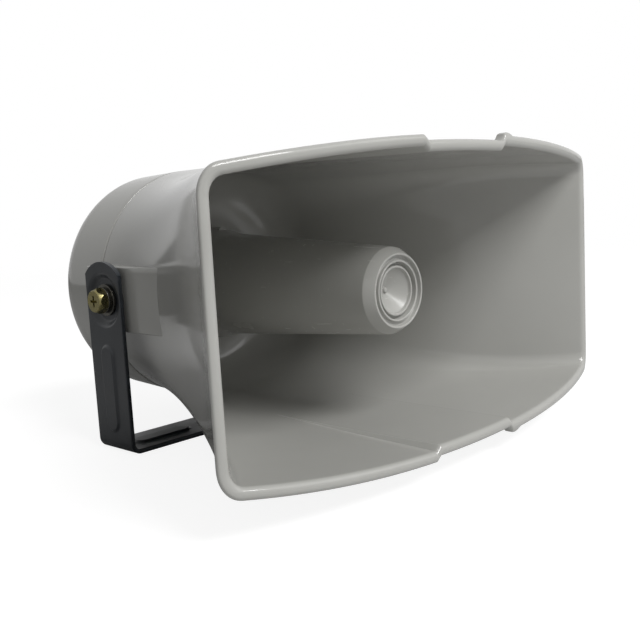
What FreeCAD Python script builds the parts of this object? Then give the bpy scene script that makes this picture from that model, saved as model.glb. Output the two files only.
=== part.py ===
import FreeCAD, Part
import math
import os

# Rectangular public-address horn: a moulded re-entrant bell with a compression driver
# and a line transformer under a domed rear cover, tilting in a pressed steel strap bracket.
#
# The horn is drawn in horn coordinates: +Y runs back along the horn axis from the front of the
# rim at the middle of the mouth, X is across, Z is up, and the axis is at X = Z = 0.
# Every shape is moved at the end, so that the origin is the middle of the bracket's underside.

Vector = FreeCAD.Vector
ACROSS = Vector(1, 0, 0)
BACK = Vector(0, 1, 0)
UP = Vector(0, 0, 1)

# Clearances
slide_clearance = 0.05
loose_clearance = 0.3
through = 3.0

# Mouth and bell
mouth_width = 286.7
mouth_height = 146.0
mouth_corner_radius = 13.3
mouth_top_radius = 970.0
mouth_side_radius = 5000.0
rim_bulge = 19.2
rim_bulge_square_share = 0.58
rim_curve_reach_share = 0.6
lip_overhang = 2.0
lip_depth = 5.5
lip_edge_chamfer = 1.0
bell_wall = 3.2
bell_length = 203.0
bell_rear_radius = 68.0
flare_power = 1.9
roundness_power = 3.3
rear_wall = 4.0

# Shallow channel pressed into the top and bottom walls behind the rim
channel_half_width = 32.2
channel_step = 2.5
channel_length = 110.0
channel_flank = 3.0
channel_ahead = 3.0
channel_runout = 12.0
nub_height = 1.5
nub_half_length = 4.5
nub_offset = 35.0

# Side bosses that carry the horn in its bracket
boss_depth = 10.5
boss_half_height = 17.5
boss_end_setback = 3.0
boss_edge_radius = 1.0
insert_radius = 5.6
insert_length = 9.5

# Re-entrant cup in the middle of the mouth
cup_front = 44.3
cup_front_radius = 18.7
cup_chamfer_length = 5.3
cup_shoulder_radius = 21.9
cup_skirt_length = 19.0
cup_waist_radius = 29.3
cup_leg_length = 16.0
cup_rear_radius = 33.0
cup_wall = 2.5
cup_ring_width = 0.9
cup_second_ring_radius = 15.9
cup_third_ring_radius = 13.2
cup_groove_depth = 2.2
cup_ring_setback = 0.5
cup_third_setback = 1.6
cup_dish_depth = 5.5
cup_nub_radius = 1.3
cup_nub_height = 1.4
cup_deflector_height = 12.0
cup_leg_count = 3
cup_leg_radius = 3.2
cup_screw_radius = 1.5
cup_screw_length = 14.0
cup_screw_head_radius = 2.8
cup_screw_head_height = 1.8
cup_screw_cross_length = 4.2
cup_screw_cross_width = 0.8
cup_screw_cross_depth = 0.8

# Throat tube, from the driver forward into the cup
throat_mouth_gap = 35.7
throat_front_radius = 12.5
throat_rear_radius = 9.0
throat_wall = 2.5
throat_flange_radius = 27.0
throat_flange_thickness = 4.0
throat_gasket_thickness = 1.5

# Recesses in the heads of the larger screws
screw_cross_length = 5.0
screw_cross_width = 1.0
screw_cross_depth = 1.2
screw_slot_width = 0.8

# Compression driver
plate_radius = 42.0
plate_thickness = 11.0
plate_bore_rear_radius = 12.0
ear_radius = 6.0
ear_thickness = 6.0
ear_circle = 49.0
ear_root = 4.0
ear_angles = (20.0, 160.0, 200.0, 340.0)
mount_screw_radius = 1.9
mount_screw_head_radius = 3.5
mount_screw_head_height = 2.4
mount_screw_bite = 6.0
clamp_circle = 34.5
clamp_angles = (45.0, 135.0, 225.0, 315.0)
clamp_screw_radius = 2.0
clamp_screw_head_radius = 3.6
clamp_screw_head_height = 2.2
clamp_screw_bite = 4.0
diaphragm_recess_radius = 30.0
diaphragm_recess_depth = 3.4
diaphragm_ring_inner_radius = 26.3
diaphragm_radius = 26.0
diaphragm_thickness = 0.4
surround_inner_radius = 20.6
surround_height = 0.8
dome_radius = 19.1
dome_height = 5.5
dome_gap = 0.9
coil_inner_radius = 19.0
coil_former_thickness = 0.3
coil_winding_thickness = 0.5
coil_length = 7.0
coil_winding_length = 5.5
pole_radius = 18.5
gap_outer_radius = 20.4
top_plate_radius = 39.0
top_plate_thickness = 5.0
magnet_radius = 37.5
magnet_bore_radius = 24.0
magnet_thickness = 12.0
back_plate_radius = 36.0
back_plate_thickness = 4.5
plug_radius = 8.0
plug_length = 14.0
plug_fin_thickness = 1.4
plug_fin_length = 2.6
tab_half_width = 7.0
tab_reach = 53.0
tag_board_thickness = 1.6
tag_width = 2.8
tag_thickness = 0.8
tag_height = 7.0
tag_spacing = 7.0
tag_rivet_radius = 0.9
tag_foot_length = 6.5
tag_inset = 4.0

# Line transformer on the rear wall, above the driver
transformer_height = 52.0
core_width = 30.0
core_depth = 25.0
core_stack = 10.0
core_window_height = 15.0
core_window_width = 5.0
core_limb_width = 10.0
bobbin_wall = 0.9
winding_growth = 3.6
clamp_strip = 1.0
clamp_foot = 9.0
transformer_boss_height = 7.0
transformer_boss_radius = 4.2
transformer_screw_radius = 1.5
transformer_screw_head_radius = 2.8
transformer_screw_head_height = 1.8

# Terminal block on the rear wall, below the driver
terminal_height = 54.0
terminal_length = 30.0
terminal_depth = 14.0
terminal_thickness = 11.0
terminal_way_count = 3
terminal_pitch = 7.5
terminal_screw_radius = 1.9
terminal_well_radius = 2.3
terminal_wire_hole_radius = 1.5
terminal_fixing_radius = 1.3
terminal_fixing_inset = 2.6
terminal_fixing_head_radius = 2.0
terminal_fixing_head_height = 1.6
terminal_fixing_seat = 5.0
terminal_fixing_bite = 2.5
terminal_floor = 3.0
terminal_wire_height = 6.0
terminal_screw_length = 6.5

# Rear cover and its seal
gasket_thickness = 1.0
gasket_width = 2.2
gasket_setback = 0.9
spigot_clearance = 0.3
spigot_height = 4.0
spigot_wall = 3.0
cover_wall = 3.0
cover_depth = 54.0
cover_draft = 1.5
cover_edge_radius = 21.0
cover_crown = 1.6
cover_post_circle = 54.0
cover_post_angles = (45.0, 135.0, 225.0, 315.0)
cover_post_radius = 5.8
bell_post_radius = 5.2
bell_post_height = 5.0
cover_post_seat = 22.0
cover_screw_radius = 1.9
cover_screw_head_radius = 3.8
cover_screw_head_height = 2.6
cover_screw_bite = 7.0
cover_well_radius = 4.4

# Cable gland on the rear face
gland_drop = 24.0
gland_boss_radius = 12.5
gland_boss_height = 1.5
gland_pocket_depth = 0.5
gland_thread_radius = 7.8
gland_bore_radius = 4.0
gland_hex = 19.0
gland_hex_thickness = 5.0
gland_sleeve_length = 7.0
gland_nut_radius = 9.4
gland_nut_length = 14.0
gland_nut_wall = 1.5
gland_locknut_hex = 20.0
gland_locknut_thickness = 3.5
gland_seal_thickness = 6.0
gland_seal_wall = 2.2
gland_seal_seat_depth = 4.0
gland_stem_past_locknut = 1.5
gland_flute_count = 8
gland_flute_radius = 1.6
gland_flute_offset = 0.9

# Strap bracket and its bolts
pivot_setback = 24.5
bracket_room = 15.0
strap_width = 31.0
strap_thickness = 2.5
strap_bend_radius = 3.5
strap_end_radius = 20.5
dish_depth = 2.8
dish_rim_radius = 15.0
dish_floor_radius = 11.0
bead_half_width = 6.0
bead_height = 1.0
bead_draft = 1.2
bead_hollow_inset = 0.6
arm_bead_top = 24.0
arm_bead_bottom = 72.0
base_bead_inner = 34.0
base_bead_outer = 72.0
bolt_radius = 4.0
bolt_hole_radius = 4.3
bolt_head_across_flats = 12.0
bolt_head_height = 5.0
bolt_cross_depth = 2.2
bolt_cross_length = 6.0
bolt_cross_width = 1.3
bolt_bite = 8.5
flat_washer_radius = 8.5
flat_washer_thickness = 1.6
spring_washer_radius = 7.0
spring_washer_thickness = 1.9
spring_washer_slit = 1.2
base_centre_hole_radius = 5.25
base_side_hole_radius = 3.25
base_side_hole_spacing = 40.0

# Places along the axis that follow from the sizes above
rear_wall_front = bell_length - rear_wall
boss_face = bell_rear_radius + boss_depth
boss_back = bell_length - boss_end_setback
pivot_back = bell_length - pivot_setback
pivot_height = bell_rear_radius + bracket_room
cup_shoulder = cup_front + cup_chamfer_length
cup_rear = rear_wall_front - cup_leg_length
cup_waist = cup_rear - cup_skirt_length
throat_front = cup_front + throat_mouth_gap
flange_back = bell_length + throat_flange_thickness
plate_front = flange_back + throat_gasket_thickness
plate_back = plate_front + plate_thickness
top_plate_back = plate_back + top_plate_thickness
magnet_back = top_plate_back + magnet_thickness
yoke_back = magnet_back + back_plate_thickness
diaphragm_front = plate_back - diaphragm_recess_depth / 2 - diaphragm_thickness / 2
cover_front = bell_length + gasket_thickness
cover_back = bell_length + cover_depth
cover_seat = bell_length + bell_post_height + cover_post_seat
gland_face = cover_back + gland_boss_height
cup_leg_circle = cup_rear_radius - cup_leg_radius + loose_clearance
strap_inner = boss_face + dish_depth
strap_outer = strap_inner + strap_thickness


def disc(radius, length, start, across=0.0, up=0.0):
    """Round bar along the horn axis, from start backward."""
    return Part.makeCylinder(radius, length, Vector(across, start, up), BACK)


def ring(outer, inner, length, start, across=0.0, up=0.0):
    """Round bar along the horn axis with a hole through it."""
    solid = disc(outer, length, start, across, up)
    hole = disc(inner, length + 2, start - 1, across, up)
    return solid.cut(hole)


def block(width, depth, height, across, start, up):
    """Box centred on X and Z, from start backward."""
    corner = Vector(across - width / 2, start, up - height / 2)
    return Part.makeBox(width, depth, height, corner)


def hexagon(across_flats, length, centre, direction):
    """Hexagonal bar with one corner straight up, or to the side when its axis is upright."""
    corner_radius = across_flats / math.sqrt(3)
    side = UP if abs(direction.z) < 0.5 else ACROSS
    other = direction.cross(side)
    corners = []
    for index in range(7):
        angle = math.radians(60 * index)
        toward = side * math.cos(angle) + other * math.sin(angle)
        corners.append(centre + toward * corner_radius)
    return Part.Face(Part.makePolygon(corners)).extrude(direction * length)


def on_circle(radius, angle):
    """Across and up of a point on a circle about the horn axis."""
    turn = math.radians(angle)
    return radius * math.cos(turn), radius * math.sin(turn)


def revolve(points):
    """Solid turned about the horn axis from (radius, back) corners."""
    corners = [Vector(radius, back, 0) for radius, back in points]
    corners.append(corners[0])
    return Part.Face(Part.makePolygon(corners)).revolve(Vector(0, 0, 0), BACK, 360)


def fuse_all(first, others):
    """One solid from pieces that grow out of each other."""
    for other in others:
        first = first.fuse(other)
    return first.removeSplitter()


def mirrored(shape):
    """The same shape on the other side of the horn."""
    return shape.mirror(Vector(0, 0, 0), ACROSS)


def roundness(back):
    """How far a bell section has turned from the mouth's rectangle to the rear circle, 0 to 1."""
    return max(0.0, min(1.0, back / bell_length)) ** roundness_power


def flare_share(back):
    """Distance still to go to the rear, as a share of the bell's length behind the rim's corners."""
    return max(0.0, (bell_length - back) / (bell_length - rim_bulge))


def half_width(back):
    """Half width of the bell's outer wall: a power-law flare."""
    growth = mouth_width / 2 - lip_overhang - bell_rear_radius
    return bell_rear_radius + growth * flare_share(back) ** flare_power


def depth_at_half_width(width):
    """Depth at which the bell's outer wall has flared to a half width."""
    growth = mouth_width / 2 - lip_overhang - bell_rear_radius
    share = ((width - bell_rear_radius) / growth) ** (1 / flare_power)
    return bell_length - share * (bell_length - rim_bulge)


def half_height(back):
    """Half height of the bell's outer wall at the middle: a straight taper."""
    growth = mouth_height / 2 - lip_overhang - bell_rear_radius
    return bell_rear_radius + growth * (1 - back / bell_length)


def side_thickness(back):
    """Wall thickness measured straight across, where the side wall runs at a slant."""
    step = 0.5
    slope = (half_width(back - step) - half_width(back + step)) / (2 * step)
    return bell_wall * math.sqrt(1 + slope ** 2)


def blend(back, at_mouth, at_rear):
    """Radius between two radii: curvature changes with the section's roundness."""
    share = roundness(back)
    return 1 / ((1 - share) / at_mouth + share / at_rear)


def bell_section(back, grow_across, grow):
    """Closed wire of eight tangent arcs: the bell's section at one depth, grown or shrunk."""
    across = half_width(back) + grow_across
    height = half_height(back) + grow
    top_radius = blend(back, mouth_top_radius, bell_rear_radius) + grow
    side_radius = blend(back, mouth_side_radius, bell_rear_radius) + grow
    share = roundness(back)
    corner_at_mouth = mouth_corner_radius - lip_overhang
    corner = corner_at_mouth + (bell_rear_radius - corner_at_mouth) * share + grow
    top_x, top_z = 0.0, height - top_radius
    side_x, side_z = across - side_radius, 0.0
    top_reach = top_radius - corner
    side_reach = side_radius - corner
    gap = math.hypot(side_x - top_x, side_z - top_z)
    if top_reach < 0.5 or side_reach < 0.5 or gap < 0.5:
        corner_x, corner_z = across - corner, height - corner
        top_turn = math.radians(67.5)
        side_turn = math.radians(22.5)
    else:
        along = (gap ** 2 + top_reach ** 2 - side_reach ** 2) / (2 * gap)
        aside = math.sqrt(max(0.0, top_reach ** 2 - along ** 2))
        unit_x, unit_z = (side_x - top_x) / gap, (side_z - top_z) / gap
        corner_x = top_x + along * unit_x + aside * unit_z
        corner_z = top_z + along * unit_z - aside * unit_x
        top_turn = math.atan2(corner_z - top_z, corner_x - top_x)
        side_turn = math.atan2(corner_z - side_z, corner_x - side_x)
    middle_turn = (top_turn + side_turn) / 2
    top_end = (corner_x + corner * math.cos(top_turn), corner_z + corner * math.sin(top_turn))
    middle = (corner_x + corner * math.cos(middle_turn), corner_z + corner * math.sin(middle_turn))
    side_end = (corner_x + corner * math.cos(side_turn), corner_z + corner * math.sin(side_turn))

    def at(point, sign_x=1, sign_z=1):
        return Vector(sign_x * point[0], back, sign_z * point[1])

    crown = (0.0, height)
    flank = (across, 0.0)
    edges = [
        Part.Arc(at(top_end, -1), at(crown), at(top_end)),
        Part.Arc(at(top_end), at(middle), at(side_end)),
        Part.Arc(at(side_end), at(flank), at(side_end, 1, -1)),
        Part.Arc(at(side_end, 1, -1), at(middle, 1, -1), at(top_end, 1, -1)),
        Part.Arc(at(top_end, 1, -1), at(crown, 1, -1), at(top_end, -1, -1)),
        Part.Arc(at(top_end, -1, -1), at(middle, -1, -1), at(side_end, -1, -1)),
        Part.Arc(at(side_end, -1, -1), at(flank, -1), at(side_end, -1)),
        Part.Arc(at(side_end, -1), at(middle, -1), at(top_end, -1)),
    ]
    return Part.Wire([edge.toShape() for edge in edges])


def bell_loft(last, grow=0.0, walls=0):
    """Smooth solid through the bell's sections, from just ahead of the rim to a depth."""
    first = -4.0
    count = 9
    wires = []
    for index in range(count):
        back = first + (last - first) * index / (count - 1)
        across = grow - walls * side_thickness(back)
        wires.append(bell_section(back, across, grow - walls * bell_wall))
    return Part.makeLoft(wires, True, False)


def rim_setback(across):
    """How far the rim's bulging face lies behind its middle."""
    share = across / (mouth_width / 2)
    return rim_bulge * (rim_bulge_square_share * share ** 2 + (1 - rim_bulge_square_share) * share ** 4)


def ahead_of_rim(setback):
    """Everything in front of the rim's bulging face, moved back by a setback."""
    reach = rim_curve_reach_share * mouth_width
    count = 13
    points = []
    for index in range(count):
        across = reach * (2 * index / (count - 1) - 1)
        points.append(Vector(across, setback + rim_setback(across), -mouth_height))
    curve = Part.BSplineCurve()
    curve.interpolate(points)
    front = -60.0
    left, right = points[0], points[-1]
    corner_right = Vector(right.x, front, right.z)
    corner_left = Vector(left.x, front, left.z)
    edges = [
        curve.toShape(),
        Part.makeLine(right, corner_right),
        Part.makeLine(corner_right, corner_left),
        Part.makeLine(corner_left, left),
    ]
    return Part.Face(Part.Wire(edges)).extrude(UP * 2 * mouth_height)


def channel_zone(level):
    """Prism with sloping flanks around the top channel, from its floor upward."""
    floor = level - 2 * channel_step
    slope = channel_flank / channel_step
    narrow = channel_half_width - 2 * channel_flank
    wide = narrow + slope * (mouth_height - floor)
    corners = [
        Vector(-narrow, -channel_ahead, floor),
        Vector(narrow, -channel_ahead, floor),
        Vector(wide, -channel_ahead, mouth_height),
        Vector(-wide, -channel_ahead, mouth_height),
        Vector(-narrow, -channel_ahead, floor),
    ]
    length = channel_ahead + channel_length + channel_runout
    return Part.Face(Part.makePolygon(corners)).extrude(BACK * length)


def with_channels(solid, grow):
    """Bell-shaped solid whose top and bottom walls dip toward the rim inside the channels."""
    dip = math.degrees(math.asin(channel_step / channel_length))
    hinge = Vector(0, channel_length, half_height(channel_length) + grow)
    zone = channel_zone(mouth_height / 2 - lip_overhang + grow)
    sunk = solid.copy()
    sunk.rotate(hinge, ACROSS, dip)
    top = zone.cut(sunk)
    return solid.cut(top).cut(top.mirror(Vector(0, 0, 0), UP))


def rim_nubs():
    """Small rounded bumps on the lip beside the channel's step."""
    radius = (nub_half_length ** 2 + nub_height ** 2) / (2 * nub_height)
    level = mouth_height / 2 - 0.4 + nub_height - radius
    nub = disc(radius, lip_depth - lip_edge_chamfer, lip_edge_chamfer, nub_offset, level)
    middle = level + 2 * radius - nub_height - 2
    keep = block(2 * radius + 2, lip_depth + 5, 2 * radius, nub_offset, -1, middle)
    top = nub.common(keep)
    return [top, top.mirror(Vector(0, 0, 0), UP)]


def bell_posts():
    """Bosses on the rear wall for the driver's ears, the cover and the transformer."""
    posts = []
    for angle in ear_angles:
        across, up = on_circle(ear_circle, angle)
        posts.append(disc(ear_radius - 1, plate_front - rear_wall_front - 1, rear_wall_front + 1, across, up))
    for angle in cover_post_angles:
        across, up = on_circle(cover_post_circle, angle)
        length = bell_post_height + rear_wall - 1
        posts.append(disc(bell_post_radius, length, rear_wall_front + 1, across, up))
    for side in (-1, 1):
        across = side * (core_width / 2 + clamp_strip + clamp_foot / 2)
        length = transformer_boss_height + rear_wall - 1
        posts.append(disc(transformer_boss_radius, length, rear_wall_front + 1, across, transformer_height))
    return posts


def bell_screw_holes():
    """Pilot holes in the rear wall and its bosses."""
    holes = []
    for angle in ear_angles:
        across, up = on_circle(ear_circle, angle)
        holes.append(disc(mount_screw_radius + slide_clearance, mount_screw_bite + 1,
                          plate_front - mount_screw_bite - 0.5, across, up))
    for angle in cover_post_angles:
        across, up = on_circle(cover_post_circle, angle)
        holes.append(disc(cover_screw_radius + slide_clearance, cover_screw_bite + 1,
                          bell_length + bell_post_height - cover_screw_bite - 0.5, across, up))
    for side in (-1, 1):
        across = side * (core_width / 2 + clamp_strip + clamp_foot / 2)
        holes.append(disc(transformer_screw_radius + slide_clearance, transformer_boss_height,
                          bell_length + 0.5, across, transformer_height))
        across = side * (terminal_length / 2 - terminal_fixing_inset)
        holes.append(disc(terminal_fixing_radius + slide_clearance, rear_wall - 0.5,
                          bell_length - rear_wall + 1, across, -terminal_height))
    for index in range(cup_leg_count):
        across, up = on_circle(cup_leg_circle, 90 + 360 * index / cup_leg_count)
        holes.append(disc(cup_screw_radius + loose_clearance, rear_wall + 2, rear_wall_front - 1, across, up))
        seat = bell_length - cup_screw_head_height
        room_radius = cup_screw_head_radius + loose_clearance
        holes.append(disc(room_radius, cup_screw_head_height + 1, seat, across, up))
    return holes


def boss_block():
    """Rectangular pivot block on the right side, with softened outer edges."""
    inner = half_width(pivot_back) - bell_wall / 2
    width = boss_face - inner
    front = depth_at_half_width(boss_face + bell_wall / 2)
    body = block(width, boss_back - front, 2 * boss_half_height, (boss_face + inner) / 2, front, 0)
    outer_edges = []
    for edge in body.Edges:
        if all(abs(vertex.Point.x - boss_face) < 0.01 for vertex in edge.Vertexes):
            outer_edges.append(edge)
    return body.makeFillet(boss_edge_radius, outer_edges)


def rim_edges(body):
    """Outer and inner edges of the flat face around the mouth."""
    edges = []
    for face in body.Faces:
        points = [vertex.Point for vertex in face.Vertexes]
        if all(abs(point.y - rim_setback(point.x)) < 0.1 for point in points):
            edges.extend(face.Edges)
    return edges


def horn_bell():
    """Bell moulded in one piece: flare, lip, channels, pivot blocks, rear wall, spigot and bosses."""
    outer = with_channels(bell_loft(bell_length), 0.0)
    cavity = with_channels(bell_loft(rear_wall_front, 0.0, 1), -bell_wall)
    lip = with_channels(bell_loft(bell_length, lip_overhang), lip_overhang)
    shell = outer.fuse(lip.common(ahead_of_rim(lip_depth)))
    shell = shell.cut(cavity).cut(ahead_of_rim(0.0)).removeSplitter()
    shell = shell.makeChamfer(lip_edge_chamfer, rim_edges(shell))
    boss = boss_block()
    bosses = [boss.cut(cavity), mirrored(boss).cut(cavity)]
    spigot_radius = bell_rear_radius - cover_wall - spigot_clearance
    spigot = ring(spigot_radius, spigot_radius - spigot_wall, spigot_height + 1, bell_length - 1)
    body = fuse_all(shell, rim_nubs() + bosses + [spigot] + bell_posts())
    for hole in bell_screw_holes():
        body = body.cut(hole)
    throat_hole = throat_rear_radius + throat_wall + loose_clearance
    body = body.cut(disc(throat_hole, rear_wall + 2, rear_wall_front - 1))
    for side in (-1, 1):
        face = Vector(side * boss_face, pivot_back, 0)
        body = body.cut(Part.makeCylinder(insert_radius, insert_length, face, ACROSS * -side))
    return body


def cup_radius(back):
    """Outer radius of the cup's cone at one depth."""
    share = (back - cup_shoulder) / (cup_waist - cup_shoulder)
    return cup_shoulder_radius + (cup_waist_radius - cup_shoulder_radius) * share


def reflector_cup():
    """Re-entrant cup: ringed face with a shallow dish, cone, flared rear edge and three legs."""
    dish_radius = cup_third_ring_radius - cup_ring_width
    second_front = cup_front + cup_ring_setback
    third_front = cup_front + cup_third_setback
    groove = cup_front + cup_groove_depth
    deep_groove = third_front + cup_groove_depth
    dish_bottom = third_front + cup_dish_depth
    inside_front = dish_bottom + cup_wall + 4
    face = [
        (0, dish_bottom - cup_nub_height),
        (cup_nub_radius * 0.6, dish_bottom - cup_nub_height),
        (cup_nub_radius, dish_bottom - 0.4),
        (dish_radius - 0.6, third_front + 0.8),
        (dish_radius, third_front),
        (cup_third_ring_radius, third_front),
        (cup_third_ring_radius + 0.3, deep_groove),
        (cup_second_ring_radius - cup_ring_width - 0.3, deep_groove),
        (cup_second_ring_radius - cup_ring_width, second_front),
        (cup_second_ring_radius, second_front),
        (cup_second_ring_radius + 0.3, groove),
        (cup_front_radius - cup_ring_width - 0.3, groove),
        (cup_front_radius - cup_ring_width, cup_front),
        (cup_front_radius - 0.3, cup_front),
        (cup_front_radius, cup_front + 0.3),
        (cup_shoulder_radius, cup_shoulder),
        (cup_waist_radius, cup_waist),
        (cup_rear_radius, cup_rear),
        (cup_rear_radius - cup_wall, cup_rear),
        (cup_waist_radius - cup_wall, cup_waist),
        (cup_radius(inside_front + 8) - cup_wall, inside_front + 8),
        (cup_radius(inside_front) - cup_wall - 4, inside_front + 1.5),
        (cup_shoulder_radius / 2, inside_front),
        (0, inside_front + cup_deflector_height),
    ]
    body = revolve(face)
    legs = []
    for index in range(cup_leg_count):
        across, up = on_circle(cup_leg_circle, 90 + 360 * index / cup_leg_count)
        legs.append(disc(cup_leg_radius, rear_wall_front - cup_rear + 8, cup_rear - 8, across, up))
    body = fuse_all(body, legs)
    for index in range(cup_leg_count):
        across, up = on_circle(cup_leg_circle, 90 + 360 * index / cup_leg_count)
        depth = cup_screw_length - rear_wall + cup_screw_head_height + 0.5
        hole_radius = cup_screw_radius + slide_clearance
        body = body.cut(disc(hole_radius, depth + 1, rear_wall_front - depth, across, up))
    return body


def with_cross(screw, length, width, across, start, up):
    """Screw whose head has a cross recess from start backward."""
    upright = block(width, through, length, across, start, up)
    level = block(length, through, width, across, start, up)
    return screw.cut(upright).cut(level)


def cup_screws():
    """Screws through the bell's rear wall into the cup's legs."""
    screws = []
    seat = bell_length - cup_screw_head_height
    for index in range(cup_leg_count):
        across, up = on_circle(cup_leg_circle, 90 + 360 * index / cup_leg_count)
        shank = disc(cup_screw_radius, cup_screw_length, seat - cup_screw_length, across, up)
        head = disc(cup_screw_head_radius, cup_screw_head_height, seat, across, up)
        screw = fuse_all(shank, [head])
        recess = bell_length - cup_screw_cross_depth
        screws.append(with_cross(screw, cup_screw_cross_length, cup_screw_cross_width, across, recess, up))
    return Part.makeCompound(screws)


def throat_tube():
    """Tapered tube from the driver into the cup, with a flange on the bell's rear wall."""
    return revolve([
        (throat_rear_radius, flange_back),
        (throat_flange_radius, flange_back),
        (throat_flange_radius, bell_length),
        (throat_rear_radius + throat_wall, bell_length),
        (throat_rear_radius + throat_wall, rear_wall_front - 4),
        (throat_front_radius + throat_wall * 0.8, throat_front + 3),
        (throat_front_radius + 0.8, throat_front),
        (throat_front_radius, throat_front),
        (throat_rear_radius, rear_wall_front - 4),
    ])


def throat_gasket():
    """Soft ring between the tube's flange and the driver."""
    return ring(throat_flange_radius, throat_rear_radius, throat_gasket_thickness, flange_back)


def dome_ball(extra):
    """Ball whose cap is the diaphragm's dome, grown by an extra radius."""
    radius = (dome_radius ** 2 + dome_height ** 2) / (2 * dome_height)
    centre = diaphragm_front - dome_height + radius
    return Part.makeSphere(radius + extra, Vector(0, centre, 0))


def driver_front_plate():
    """Plate that joins the driver to the throat, with four ears and a tab for the solder tags."""
    plate = disc(plate_radius, plate_thickness, plate_front)
    extras = []
    for angle in ear_angles:
        across, up = on_circle(ear_circle, angle)
        extras.append(disc(ear_radius, ear_thickness, plate_front, across, up))
        inner_across, inner_up = on_circle((ear_circle + plate_radius) / 2 - ear_root, angle)
        arm_length = ear_circle - plate_radius + 2 * ear_root
        arm = block(arm_length, ear_thickness, 2 * ear_radius, 0, plate_front, 0)
        arm.rotate(Vector(0, 0, 0), BACK, -angle)
        arm.translate(Vector(inner_across, 0, inner_up))
        extras.append(arm)
    tab_length = tab_reach - plate_radius + 4
    tab_middle = tab_reach - tab_length / 2
    extras.append(block(tab_length, ear_thickness, 2 * tab_half_width, tab_middle, plate_front, 0))
    plate = fuse_all(plate, extras)
    bore = Part.makeCone(throat_rear_radius, plate_bore_rear_radius, plate_thickness - diaphragm_recess_depth,
                         Vector(0, plate_front, 0), BACK)
    plate = plate.cut(bore)
    recess = disc(diaphragm_recess_radius, diaphragm_recess_depth + 1, plate_back - diaphragm_recess_depth)
    dome_room = dome_ball(dome_gap).common(disc(dome_radius + 1.5, plate_thickness, plate_front))
    plate = plate.cut(recess).cut(dome_room)
    for angle in ear_angles:
        across, up = on_circle(ear_circle, angle)
        plate = plate.cut(disc(mount_screw_radius + loose_clearance, ear_thickness + 2, plate_front - 1,
                               across, up))
    for angle in clamp_angles:
        across, up = on_circle(clamp_circle, angle)
        plate = plate.cut(disc(clamp_screw_radius + loose_clearance, plate_thickness + 2, plate_front - 1,
                               across, up))
        plate = plate.cut(disc(clamp_screw_head_radius + loose_clearance, clamp_screw_head_height + 1,
                               plate_front - 1, across, up))
    for side in (-1, 1):
        rivet = disc(tag_rivet_radius + slide_clearance, ear_thickness + 2, plate_front - 1,
                     tab_reach - tag_inset, side * tag_spacing / 2)
        plate = plate.cut(rivet)
    return plate


def phase_plug():
    """Bullet in the driver's throat, carried by three fins in the plate's bore."""
    ball = dome_ball(dome_gap)
    nose = plate_front + plug_fin_length - plug_length
    shoulder = plate_front + plug_fin_length
    body = revolve([
        (0, nose),
        (plug_radius * 0.25, nose + 0.8),
        (plug_radius * 0.7, shoulder - 5),
        (plug_radius - 1.2, shoulder),
        (plug_radius, shoulder + 1.5),
        (plug_radius, shoulder + 5),
        (0, shoulder + 5),
    ])
    fins = []
    for index in range(3):
        reach = throat_rear_radius - slide_clearance
        fin = block(plug_fin_thickness, plug_fin_length, reach - 2, 0, plate_front, reach / 2 + 1)
        fin.rotate(Vector(0, 0, 0), BACK, 120 * index)
        fins.append(fin)
    return fuse_all(body, fins).cut(ball)


def diaphragm():
    """Thin dome with a rolled surround and a flat outer edge, one moulding."""
    roll = revolve([
        (dome_radius - 0.6, diaphragm_front),
        (dome_radius + 0.7, diaphragm_front),
        (surround_inner_radius, diaphragm_front + surround_height),
        (surround_inner_radius + 1.4, diaphragm_front),
        (surround_inner_radius + 2.0, diaphragm_front),
        (surround_inner_radius + 2.0, diaphragm_front + diaphragm_thickness),
        (surround_inner_radius + 1.6, diaphragm_front + diaphragm_thickness),
        (surround_inner_radius, diaphragm_front + surround_height + diaphragm_thickness),
        (dome_radius + 0.5, diaphragm_front + diaphragm_thickness),
        (dome_radius - 0.6, diaphragm_front + diaphragm_thickness),
    ])
    flat = ring(diaphragm_radius, surround_inner_radius + 1.7, diaphragm_thickness, diaphragm_front)
    shell = dome_ball(0.0).cut(dome_ball(-diaphragm_thickness))
    depth = dome_height + diaphragm_thickness + 1
    dome = shell.common(disc(dome_radius, depth, diaphragm_front - dome_height - 1))
    return fuse_all(flat, [roll, dome])


def diaphragm_ring():
    """Clamping ring around the diaphragm, in the plate's recess."""
    outer = diaphragm_recess_radius - slide_clearance
    start = plate_back - diaphragm_recess_depth
    return ring(outer, diaphragm_ring_inner_radius, diaphragm_recess_depth, start)


def voice_coil():
    """Former with its winding, hung from the diaphragm into the magnet's gap."""
    start = diaphragm_front + diaphragm_thickness
    former = ring(coil_inner_radius + coil_former_thickness, coil_inner_radius, coil_length, start)
    winding_outer = coil_inner_radius + coil_former_thickness + coil_winding_thickness
    winding_inner = coil_inner_radius + coil_former_thickness / 3
    winding = ring(winding_outer, winding_inner, coil_winding_length, start + coil_length - coil_winding_length)
    return fuse_all(former, [winding])


def top_plate():
    """Front steel plate of the magnet, threaded for the clamping screws."""
    plate = ring(top_plate_radius, gap_outer_radius, top_plate_thickness, plate_back)
    for angle in clamp_angles:
        across, up = on_circle(clamp_circle, angle)
        plate = plate.cut(disc(clamp_screw_radius + slide_clearance, top_plate_thickness + 2, plate_back - 1,
                               across, up))
    return plate


def magnet():
    """Ferrite ring."""
    return ring(magnet_radius, magnet_bore_radius, magnet_thickness, top_plate_back)


def yoke():
    """Steel back plate with the pole in one forging."""
    return revolve([
        (0, plate_back),
        (pole_radius, plate_back),
        (pole_radius, magnet_back),
        (back_plate_radius, magnet_back),
        (back_plate_radius, yoke_back - 1),
        (back_plate_radius - 1, yoke_back),
        (0, yoke_back),
    ])


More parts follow.
